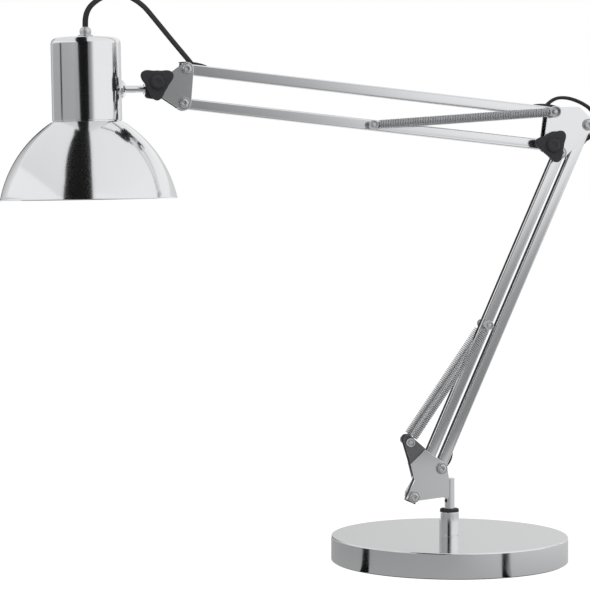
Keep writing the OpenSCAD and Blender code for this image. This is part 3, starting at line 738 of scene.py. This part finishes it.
def lens(shape, a, b, start, end, wide=2.9, rise=2.4):
    """Low black lens on the outer face of a bar, where the flex goes in."""
    middle, half = (start + end) / 2, (end - start) / 2
    side = ((1, 0), (1, 0.35), (0.86, 0.78), (0.5, 0.97))
    section = [(-u, v) for u, v in side] + [(0, 1)] + [*reversed(side)]
    rings = []
    for k in range(13):
        x = half * 0.995 * (k / 6 - 1)
        top = 0.7 + (rise - 0.7) * (1 - (x / half) ** 2)
        rings.append([(middle + x, wide * u, -HALF_TUBE + 0.1 - top * v) for u, v in section])
    shape.loft(rings, place=along(a, b))


class LAMP_OT_arms(Operator):
    """Make the four square bars with their end plugs and grommets"""

    bl_idname = "lamp.arms"
    bl_label = "Arms"

    def execute(self, context):
        right, left = (FOOT_RIGHT, TOP_RIGHT), (FOOT_LEFT, TOP_LEFT)
        top, low = (ELBOW_TOP, WRIST_TOP), (WRIST_LOW, ELBOW_LOW)
        square_bar("lower_bar_right", "bar_right", "lower_arm", *right, False)
        square_bar("lower_bar_left", "bar_left", "lower_link", *left, True)
        square_bar("top_bar", "upper_bar_top", "upper_arm", *top, False)
        square_bar("low_bar", "upper_bar_low", "upper_link", *low, True)
        for name, node, body, ends in (
            ("lower_right_ends", "bar_right_plugs", "lower_arm", (right, right[::-1])),
            ("lower_left_end", "bar_left_plug", "lower_link", (left,)),
            ("top_bar_ends", "upper_bar_top_plugs", "upper_arm", (top, top[::-1])),
            ("low_bar_end", "upper_bar_low_plug", "upper_link", (low,)),
        ):
            plug = Shape()
            for a, b in ends:
                outline = [(-6.2, -4.8), (-5.15, -4.8), (-5.15, 4.8), (-6.2, 4.8)]
                plug.slab(outline, -4.8, 4.8, along(a, b))
            plug.make(name, "black_nylon", body, [node], edge=0.0004)
        for name, node, body, bar, spans in (
            ("lower_grommets", "bar_right_grommets", "lower_arm", right,
                ((2.8, 17.6), (LOWER_LENGTH - 17, LOWER_LENGTH - 2.5))),
            ("upper_grommets", "upper_bar_grommets", "upper_arm", top,
                ((-9, 16.5), (UPPER_LENGTH - 18.2, UPPER_LENGTH + 7.2))),
        ):
            grommets = Shape()
            for span in spans:
                lens(grommets, *bar, *span)
            grommets.make(name, "black_nylon", body, [node])
        return {"FINISHED"}


# ---- bolts, pins and knobs ----


def rod(shape, p, y, long, r, front=True, sides=32):
    """Plain round pin of radius r from depth y at p."""
    shape.turn([(0, 0), (r, 0), (r, long), (0, long)], facing(p, y, front), sides)


def bush(shape, p, y, front, bore, r, long, soft):
    """Round sleeve whose outer edge is broken by soft."""
    profile = [(bore, 0), (r - 0.1, 0), (r, 0.1), (r, long - soft), (r - soft, long), (bore, long)]
    shape.turn(profile, facing(p, y, front), 40, loop=True)


def ring_washer(shape, p, y, front, r=5.6, thick=0.8):
    """Washer with a round bead at its edge."""
    bead = 0.42
    profile = [(2.5, 0), (r - 0.05, 0), *arc(r - bead, thick - bead, bead, 0, 180, 10)]
    profile += [(r - 2 * bead, 0.25), (2.5, 0.25)]
    shape.turn(profile, facing(p, y, front), 56, loop=True)


def socket_head(shape, p, y, front, r=4.1, rise=2.4, socket=2.1, deep=1.6):
    """Pan head with a hexagon socket."""
    edge = 1.5
    profile = [(0, -0.5), (r - 0.3, -0.5), (r, -0.2), (r, rise - edge)]
    profile += arc(r - edge, rise - edge, edge, 0, 90, 9)[1:]
    profile += [(hexagon(socket + 0.25), rise), (hexagon(socket), rise - 0.25)]
    profile += [(hexagon(socket), rise - deep), (0, rise - deep - 0.5)]
    shape.turn(profile, facing(p, y, front), 60)


def ring_head(shape, p, y, front, r, rise):
    """Bright ring with a sunk centre and a small round boss in it."""
    bead, boss = 0.55, 1.9
    profile = [(0, 0), (r, 0), *arc(r - bead, rise - bead, bead, 0, 180, 10)]
    profile += [(r - 2 * bead, 0.35), (boss, 0.35), (boss, rise - 0.7)]
    profile += [*arc(1.2, rise - 0.8, 0.7, 0, 90, 6)[1:], (0, rise - 0.05)]
    shape.turn(profile, facing(p, y, front), 52)


def hex_nut(shape, p, y, front, r=4.6, high=3.6):
    """Chamfered nut with the bolt's end in it."""
    edge, bore = 0.45, 2.2
    place = facing(p, y, front)
    nut = [(bore, 0), (r * 0.9, 0), (hexagon(r), edge), (hexagon(r), high - edge)]
    nut += [(r * 0.88, high), (2.6, high), (bore, high - 0.4)]
    shape.turn(nut, place, 60, loop=True)
    bolt_end = [(0, high - 2), (bore, high - 2), (bore, high + 0.1), (1.7, high + 0.5), (0, high + 0.5)]
    shape.turn(bolt_end, place, 36)


def pivot_bolts(name, node, body, points):
    """The bolts of one joint, each with two washers and a nut."""
    bolts = Shape()
    for p in points:
        rod(bolts, p, PLATE_OUT, 2 * PLATE_OUT, 2.45)
        ring_washer(bolts, p, -PLATE_OUT, True)
        socket_head(bolts, p, -WASHER_OUT, True)
        ring_washer(bolts, p, PLATE_OUT, False)
        hex_nut(bolts, p, WASHER_OUT, False)
    bolts.make(name, "zinc_steel", body, [node])


def dome(shape, p, y, front, r, rise, curve):
    """Domed cap whose edge has the radius curve."""
    profile = [(0, 0), (r, 0), (r, rise - curve), *arc(r - curve, rise - curve, curve, 0, 90, 9)[1:]]
    profile += [(r * 0.4, rise + 0.12), (0, rise + 0.18)]
    shape.turn(profile, facing(p, y, front), 48)


def spring_pin(name, node, body, p, y):
    """Pin through a bar, with a bush, a spring's place and a head on each side."""
    pin = Shape()
    rod(pin, p, y + 2, 2 * y + 4, 2.15)
    for depth, front in both(HALF_TUBE):
        bush(pin, p, depth, front, 2.2, 3.6, y - 2 - HALF_TUBE, 0.15)
    for depth, front in both(y + 2):
        ring_head(pin, p, depth, front, 4.3, 1.7)
    pin.make(name, "zinc_steel", body, [node])


class LAMP_OT_fasteners(Operator):
    """Make the pivot bolts, clamp bolts and the pins that the springs hook on"""

    bl_idname = "lamp.fasteners"
    bl_label = "Bolts and pins"

    def execute(self, context):
        pivot_bolts("foot_bolts", "lower_pivot_bolts", "turret", (FOOT_LEFT, FOOT_RIGHT))
        pivot_bolts("elbow_bolts", "elbow_pivot_bolts", "elbow", (TOP_LEFT, TOP_RIGHT))
        pivot_bolts("wrist_bolts", "head_pivot_bolts", "head_bracket", (WRIST_LOW, WRIST_TOP))
        for name, node, body, p in (
            ("elbow_clamp_bolt", "elbow_bolt", "elbow", ELBOW_LOW),
            ("head_clamp_bolt", "head_bolt", "head_bracket", TILT),
        ):
            bolt = Shape()
            rod(bolt, p, PLATE_OUT, 27.5, 2.95, sides=36)
            dome(bolt, p, PLATE_OUT, False, 6.4, 2.6, 2.2)
            bolt.make(name, "zinc_steel", body, [node])
        spring_pin("lower_hook_pin", "lower_spring_pin", "lower_link", LOWER_HOOK, LOWER_SPRING_Y)
        spring_pin("upper_hook_pin", "upper_spring_pin", "upper_link", UPPER_HOOK, UPPER_SPRING_Y)
        pin = Shape()
        rod(pin, ELBOW_TOP, 15, 30, 2.45)
        for depth, front in both(PLATE_OUT):
            bush(pin, ELBOW_TOP, depth, front, 2.4, 4.2, 2.4, 0.2)
        for depth, front in both(14.6):
            ring_head(pin, ELBOW_TOP, depth, front, 5.3, 4.4)
        pin.make("elbow_hook_pin", "zinc_steel", "elbow", ["elbow_spring_pin"])
        refinish("black_nylon", "lower_spring_eyes")
        return {"FINISHED"}


def clamp_knob(name, node, body, p, turn):
    """Three-lobed knob with rounded edges and a domed hub."""

    def lobe(inset):
        def radius(a):
            return 10.5 + 5.9 * ((1 + math.cos(3 * (a - rad(turn)))) / 2) ** 1.8 - inset

        return radius

    back = ((3, 12.4), (2, 12.8), (0.8, 14), (0.15, 15.5), (0, 17))
    front = ((0, 19.4), (0.15, 20.2), (0.6, 20.8), (1.4, 21))
    profile = [(3, 8.7), (5.7, 8.7), (6, 9), (6, 12.3)]
    profile += [(lobe(inset), y) for inset, y in back + front]
    profile += [(6.6, 21), (6.5, 21.4), *arc(3.9, 21.6, 2.6, 0, 90, 6), (2.6, 24.2), (2.4, 24), (0, 24)]
    knob = Shape().turn(profile, facing(p, 0), 144)
    return knob.make(name, "black_nylon", body, [node], sharp=50)


class LAMP_OT_knobs(Operator):
    """Make the two three-lobed clamp knobs"""

    bl_idname = "lamp.knobs"
    bl_label = "Knobs"

    def execute(self, context):
        clamp_knob("elbow_star_knob", "elbow_knob", "elbow_clamp", ELBOW_LOW, 49)
        clamp_knob("head_star_knob", "head_knob", "head_clamp", TILT, 30)
        return {"FINISHED"}


# ---- springs ----


def spring_wire(run, turns):
    """Centreline of a tension spring along +X from pin to pin, with a hook round each pin."""
    size = bpy.context.scene.lamp_sizes
    r, hook = size.spring_radius / MM, 2.15 + size.wire / MM / 2 + 0.15

    def on_hook(x, a):
        return Vector((x + hook * math.cos(rad(a)), 0, hook * math.sin(rad(a))))

    path = [on_hook(0, a) for a in range(50, 331, 20)]
    path += [Vector((3.9, 0, -0.8)), Vector((4.7, 0, -0.2))]
    start, end, steps = 5.4, run - 5.4, 14
    count = turns * steps
    for i in range(count + 1):
        a = math.tau * i / steps
        grow = min(1, min(i, count - i) / (0.5 * steps))
        grow = grow * grow * (3 - 2 * grow)
        x = start + (end - start) * i / count
        path.append(Vector((x, r * grow * math.sin(a), r * grow * math.cos(a))))
    path += [Vector((run - 4.7, 0, 0.2)), Vector((run - 3.9, 0, 0.8))]
    return path + [on_hook(run, a) for a in range(150, -131, -20)]


def spring_pair(a, b, y, turns, name, node, bodies):
    """The front and back springs of one arm, from pin a to pin b."""
    section = round_section(bpy.context.scene.lamp_sizes.wire / MM, 7)
    for depth, where in ((-y, "front"), (y, "back")):
        place = Matrix.Translation((0, depth, 0)) @ along(a, b)
        wire = Shape().sweep(spring_wire(math.dist(a, b), turns), section, place=place)
        piece = wire.make(
            f"{name}_{where}", "spring_steel", replaces=[f"{node}_{where}"], even=False, sharp=80
        )
        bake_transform(piece)


class LAMP_OT_springs(Operator):
    """Wind the four tension springs and hook them on their pins"""

    bl_idname = "lamp.springs"
    bl_label = "Springs"

    def execute(self, context):
        size = context.scene.lamp_sizes
        bodies = ("lower_spring_swing", "lower_spring")
        lower = (ANCHOR, LOWER_HOOK, LOWER_SPRING_Y, size.lower_turns)
        spring_pair(*lower, "lower_coil", "lower_spring", bodies)
        bodies = ("upper_link", "upper_spring")
        upper = (UPPER_HOOK, ELBOW_TOP, UPPER_SPRING_Y, size.upper_turns)
        spring_pair(*upper, "upper_coil", "upper_spring", bodies)
        return {"FINISHED"}


# ---- head ----


class LAMP_OT_head(Operator):
    """Make the housing, the bell shade, the rod's collar, the flex gland and the bulb"""

    bl_idname = "lamp.head"
    bl_label = "Head"

    def execute(self, context):
        size = context.scene.lamp_sizes
        shell, r, crown = size.shell / MM, HOUSING_R, 5.5
        housing = [
            *((4.2, TOP - shell), (4.2, TOP), (12, TOP), (r - crown - 0.4, TOP)),
            *arc(r - crown, TOP - crown, crown, 90, 0, 18),
            *((r, TOP - crown - 0.6), (r, SEAM + 1.9), (r, SEAM + 1.2)),
            *((r - 0.25, SEAM + 0.9), (r - shell, SEAM + 0.9)),
            *arc(r - crown, TOP - crown, crown - shell, 0, 90, 8),
        ]
        turned("lamp_housing", "chrome", "head", "housing", housing, HEAD, 192)
        self.shade(shell, size.rim_bead / MM)
        collar = [
            *((3.42, 27.8), (8.3, 27.8), (8.5, 28), (8.5, 32)),
            *arc(7.9, 32.1, 0.6, 0, 60, 4),
            *((7.5, 33.4), (4.9, 34.9), (4.6, 35), (3.42, 35)),
        ]
        rod_way = HEAD @ Matrix.Rotation(rad(90), 4, "Y")
        turned("collar", "chrome", "head", "rod_collar", collar, rod_way, 56)
        gland = [
            *((2.7, -6), (4.15, -6), (4.15, 0), (6.6, 0), (6.7, 0.2), (6.7, 2.2)),
            *arc(6.1, 2.2, 0.6, 0, 90, 5)[1:],
            *((5, 3), (4.8, 3.4), (5.3, 4.6)),
            *arc(1.1, 6, 4.2, 0, 62, 9),
            *((2.8, 9.9), (2.6, 9.4)),
        ]
        gland_place = HEAD @ Matrix.Translation((0, 0, TOP))
        turned("flex_gland", "zinc_steel", "head", "head_gland", gland, gland_place, 56)
        bulb = Shape()
        globe = [(0, -51.1), *arc(0, -28.6, 22.5, -90, 50, 40), (13.3, -10), (12.6, -7.3)]
        bulb.turn([*globe, (12.6, -5.8), (0, -5.8)], HEAD, 72)
        bulb.turn([(12, -6.8), (13.2, -6.4), (13.2, 17.2), (9, 22.2), (0, 23.2)], HEAD, 72)
        bulb.make("globe_bulb", "opal", "head", ["bulb"])
        refinish("black_nylon", "lampholder", "knuckle")
        refinish("chrome", "head_rod")
        return {"FINISHED"}

    def shade(self, shell, bead):
        """Spun bell whose profile is one arc, with a bead rolled at its rim."""
        inner, outer = HOUSING_R - shell - 1.1, HOUSING_R - shell - 0.15
        cx, cz, bell = -26.6, -120.2, 108.6
        low, high = 11.7, 57
        rim = arc(cx, cz, bell - shell / 2, low, low, 1)[0]
        profile = [
            *((inner, SEAM + 9), (outer, SEAM + 9), (outer, SEAM - 0.1), (outer + 1.5, SEAM - 0.15)),
            *arc(cx, cz, bell, high - 0.1, low + 0.7, 56),
            *arc(rim[0] - bead * 0.35, rim[1] + bead * 0.3, bead, 50, -190, 16),
            *arc(cx, cz, bell - shell, low + 0.7, high, 40),
            (inner, SEAM - 1.4),
        ]
        turned("bell_shade", "chrome", "head", "shade", profile, HEAD, 224, sharp=60)


# ---- stage ----

# Camera at the photograph's view: place in metres, angles in degrees, lengths in millimetres
CAMERA_PLACE = (-0.47575, -2.06148, 0.34339)
CAMERA_TILT, CAMERA_HEADING = 87.3764, -9.1
FOCAL_LENGTH, SENSOR_WIDTH = 138.88, 36
# Strength of the world's light on the lamp, where reflections see 1
WORLD_LIGHT = 0.62
# The floor: half its side, its white, and the share and strength of plain white that rays see in it
FLOOR_HALF, FLOOR_WHITE, FLOOR_SHARE, FLOOR_GLOW = 6, 0.95, 0.8, 1.13
# Each lamp: name, place, power and size
LAMPS = (("softbox_above", (-0.6, -0.9, 2.4), 26, 1.8), ("softbox_right", (2.2, -1.6, 1.4), 12, 1.4))
LIT_POINT = Vector((-0.05, 0, 0.25))
BLACK = ((0, 0.008), (1, 0.008))


def stage_quad(name, corners, material):
    """A quad of the stage. UV goes round its corners from 0, 0."""
    mesh = bpy.data.meshes.new(name)
    mesh.from_pydata(corners, [], [(0, 1, 2, 3)])
    layer = mesh.uv_layers.new(name="UVMap")
    for corner, uv in zip(layer.data, ((0, 0), (1, 0), (1, 1), (0, 1))):
        corner.uv = uv
    mesh.materials.append(material)
    thing = bpy.data.objects.new(name, mesh)
    bpy.context.scene.collection.objects.link(thing)
    return thing


def glow(name, colours, sideways):
    """Plain light grey or black of a reflected card; colours are (place, grey) along it."""
    material = bpy.data.materials.new(name)
    graph = Graph(material)
    split = graph.add("SeparateXYZ", {0: graph.add("UVMap").outputs["UV"]})
    ramp = graph.add("ValToRGB", {"Fac": split.outputs["X" if sideways else "Y"]})
    marks = ramp.color_ramp.elements
    while len(marks) < len(colours):
        marks.new(0.5)
    for mark, (position, grey) in zip(marks, colours):
        mark.position = position
        mark.color = (grey, grey, grey, 1)
    light = graph.add("Emission", {"Color": ramp.outputs["Color"]})
    graph.add("OutputMaterial", {"Surface": light.outputs[0]})
    return material


def card(name, corners, colours, sideways=True):
    """A card that only reflections see, shaded along its first side or up from it."""
    thing = stage_quad(name, corners, glow(name, colours, sideways))
    thing.visible_camera = thing.visible_diffuse = False
    thing.visible_shadow = thing.visible_transmission = False


def upright(x0, x1, y, low, high):
    return [(x0, y, low), (x1, y, low), (x1, y, high), (x0, y, high)]


def side_wall(x, y0, y1, low, high):
    return [(x, y0, low), (x, y1, low), (x, y1, high), (x, y0, high)]


def level(x0, x1, y0, y1, z):
    return [(x0, y0, z), (x1, y0, z), (x1, y1, z), (x0, y1, z)]


def head_strip(start, end):
    """From one level edge to another; each is (left, right, away, up), from the head and as it is seen."""
    head = Vector((HEAD_X * MM, 0, ROD_Z * MM))
    right, away = Vector((0.998, -0.068, 0)), Vector((0.068, 0.998, 0))

    def spot(x, y, z):
        return head + x * right + y * away + Vector((0, 0, z))

    (left_a, right_a, *a), (left_b, right_b, *b) = start, end
    return [spot(left_a, *a), spot(right_a, *a), spot(right_b, *b), spot(left_b, *b)]


class LAMP_OT_stage(Operator):
    """Set the camera, the white floor, the lights and the cards that the chrome mirrors"""

    bl_idname = "lamp.stage"
    bl_label = "Camera and stage"

    def execute(self, context):
        scene = context.scene
        scene.view_settings.view_transform = "Standard"
        optics = bpy.data.cameras.new("camera")
        optics.lens, optics.sensor_width = FOCAL_LENGTH, SENSOR_WIDTH
        camera = bpy.data.objects.new("camera", optics)
        camera.location = CAMERA_PLACE
        camera.rotation_euler = (rad(CAMERA_TILT), 0, rad(CAMERA_HEADING))
        scene.collection.objects.link(camera)
        scene.camera = camera
        self.floor()
        self.world(scene)
        self.lights(scene)
        self.cards()
        self.seam_cards()
        return {"FINISHED"}

    def seen(self, graph):
        """1 for camera, glossy and transmission rays."""
        rays = graph.add("LightPath").outputs
        pair = {0: rays["Is Camera Ray"], 1: rays["Is Glossy Ray"]}
        first = graph.add("Math", pair, operation="MAXIMUM").outputs[0]
        pair = {0: first, 1: rays["Is Transmission Ray"]}
        return graph.add("Math", pair, operation="MAXIMUM").outputs[0]

    def floor(self):
        """White floor that keeps a weak shadow."""
        material = bpy.data.materials.new("white_floor")
        graph = Graph(material)
        paper = graph.add("BsdfDiffuse", {"Color": (FLOOR_WHITE, FLOOR_WHITE, FLOOR_WHITE, 1)})
        bright = graph.add("Emission", {"Color": (1, 1, 1, 1), "Strength": FLOOR_GLOW})
        share = graph.add("Math", {0: self.seen(graph), 1: FLOOR_SHARE}, operation="MULTIPLY")
        inputs = {"Fac": share.outputs[0], 1: paper.outputs[0], 2: bright.outputs[0]}
        mix = graph.add("MixShader", inputs)
        graph.add("OutputMaterial", {"Surface": mix.outputs[0]})
        stage_quad("floor", level(-FLOOR_HALF, FLOOR_HALF, -FLOOR_HALF, FLOOR_HALF, 0), material)

    def world(self, scene):
        """White room to the camera and the chrome, with a softer light on everything."""
        scene.world = bpy.data.worlds.new("white_room")
        graph = Graph(scene.world)
        soft, white = [
            graph.add("Background", {"Color": (1, 1, 1, 1), "Strength": strength}).outputs[0]
            for strength in (WORLD_LIGHT, 1)
        ]
        mix = graph.add("MixShader", {"Fac": self.seen(graph), 1: soft, 2: white})
        graph.add("OutputWorld", {"Surface": mix.outputs[0]})

    def lights(self, scene):
        for name, place, power, wide in LAMPS:
            lamp = bpy.data.lights.new(name, "AREA")
            lamp.energy, lamp.size = power, wide
            thing = bpy.data.objects.new(name, lamp)
            thing.location = place
            aim = LIT_POINT - Vector(place)
            thing.rotation_euler = aim.to_track_quat("-Z", "Y").to_euler()
            thing.visible_glossy = False
            scene.collection.objects.link(thing)

    def cards(self):
        """Dark and grey cards round the lamp. The last False shades a card from bottom to top."""
        table, split = 0.0004, -0.86
        for row in (
            ("black_overhead", head_strip((-0.425, 0.026, 0.13, 1.5), (-1.21, 0.13, -1.6, 1.5)), BLACK),
            ("black_beyond", head_strip((-0.262, 0.005, 0.85, 1.5), (-0.425, 0.026, 0.13, 1.5)), BLACK),
            ("black_in_front", head_strip((-1.04, 0.134, -1.6, 0.4), (-1.21, 0.134, -1.6, 1.5)), BLACK),
            ("black_low_in_front", head_strip((-0.33, 0.2, -1.6, -0.384), (-1, 0.2, -1.6, 0.4)), BLACK),
            ("wall_in_front", upright(-0.3, 1.2, -2.1, 0.02, 1),
                ((0, 0.25), (0.18, 0.26), (0.34, 0.50), (0.48, 0.9), (0.56, 1))),
            ("grey_left", side_wall(-2.1, 12, -1.9, 0.05, 0.75), ((0, 0.40), (0.8, 0.45), (1, 0.8)), False),
            ("grey_front_left", upright(-2.1, -0.9, -1.9, 0.05, 0.75),
                ((0, 0.38), (0.8, 0.42), (1, 0.8)), False),
            ("thin_line_left", side_wall(-2, 0.23, 0.03, 0.42, 0.58), BLACK),
            ("ceiling", level(-3, 3, -3, 3, 2), ((0, 0.84), (0.4, 0.92), (1, 1))),
            ("wall_behind", upright(-0.8, 3, 2.6, 0.02, 1.1), ((0, 0.50), (0.4, 0.70), (1, 0.85))),
            ("wall_behind_left", upright(-2.7, -0.86, 2.6, 0.3, 1.7), ((0, 0.90), (1, 0.42))),
            ("table_in_front", level(-2.2, 2.2, split, 0.2, table),
                ((0, 0.36), (0.44, 0.36), (0.49, 0.40), (0.51, 0.50), (0.55, 0.66), (1, 0.68))),
            ("table_far", level(-2.2, 0.9, -2.3, split, table), ((0, 0.25), (0.895, 0.25), (0.985, 0.95))),
            ("low_wall_in_front", upright(0.36, 0.9, -2.08, 0, 0.36),
                ((0, 0.27), (0.6, 0.38), (1, 0.85)), False),
            ("dark_behind", upright(-0.85, -0.1, 2.55, 0.12, 1.2), ((0, 0.03), (1, 0.03))),
            ("dark_right", side_wall(1.6, 0.1, 1.1, 0.38, 0.62), ((0, 0.02), (1, 0.02))),
        ):
            card(*row)

    def seam_cards(self):
        """Two dark rays on the table, which the base's side mirrors as upright bands."""
        base_rim, length, lift = 0.109, 0.2, 0.0008
        for name, rim, heading, near, far, greys in (
            ("seam_left", 213.6, 170.2, 0.0042, 0.018, ((0, 0.004), (1, 0.004))),
            ("seam_right", 284.6, -47.8, 0.0045, 0.018, ((0, 0.35), (0.30, 0.004))),
        ):
            root = Vector((base_rim * math.cos(rad(rim)), base_rim * math.sin(rad(rim)), lift))
            way = Vector((math.cos(rad(heading)), math.sin(rad(heading)), 0))
            side = Vector((-way.y, way.x, 0))
            tip = root + length * way
            card(name, [root + near * side, root - near * side, tip - far * side, tip + far * side], greys)


# ---- panel and order of work ----


class LAMP_PT_panel(Panel):
    """The lamp's sizes, colours and steps"""

    bl_label = "Desk lamp"
    bl_idname = "LAMP_PT_panel"
    bl_space_type = "VIEW_3D"
    bl_region_type = "UI"
    bl_category = "Lamp"

    def draw(self, context):
        for title, group in (("Sizes", context.scene.lamp_sizes), ("Colours", context.scene.lamp_colours)):
            box = self.layout.box()
            box.label(text=title)
            for key in group.__annotations__:
                box.prop(group, key)
        column = self.layout.column()
        for step in STEPS:
            column.operator(step.bl_idname)


STEPS = (
    LAMP_OT_stage,
    LAMP_OT_cords,
    LAMP_OT_base,
    LAMP_OT_plates,
    LAMP_OT_arms,
    LAMP_OT_fasteners,
    LAMP_OT_knobs,
    LAMP_OT_springs,
    LAMP_OT_head,
)
CLASSES = (LampSizes, LampColours, *STEPS, LAMP_PT_panel)


def register():
    for cls in CLASSES:
        bpy.utils.register_class(cls)
    bpy.types.Scene.lamp_sizes = PointerProperty(type=LampSizes)
    bpy.types.Scene.lamp_colours = PointerProperty(type=LampColours)


def unregister():
    del bpy.types.Scene.lamp_colours
    del bpy.types.Scene.lamp_sizes
    for cls in reversed(CLASSES):
        bpy.utils.unregister_class(cls)


def main():
    register()
    bpy.ops.lamp.stage()
    bpy.ops.lamp.cords()
    bpy.ops.lamp.base()
    bpy.ops.lamp.plates()
    bpy.ops.lamp.arms()
    bpy.ops.lamp.fasteners()
    bpy.ops.lamp.knobs()
    bpy.ops.lamp.springs()
    bpy.ops.lamp.head()


if __name__ == "__main__":
    main()
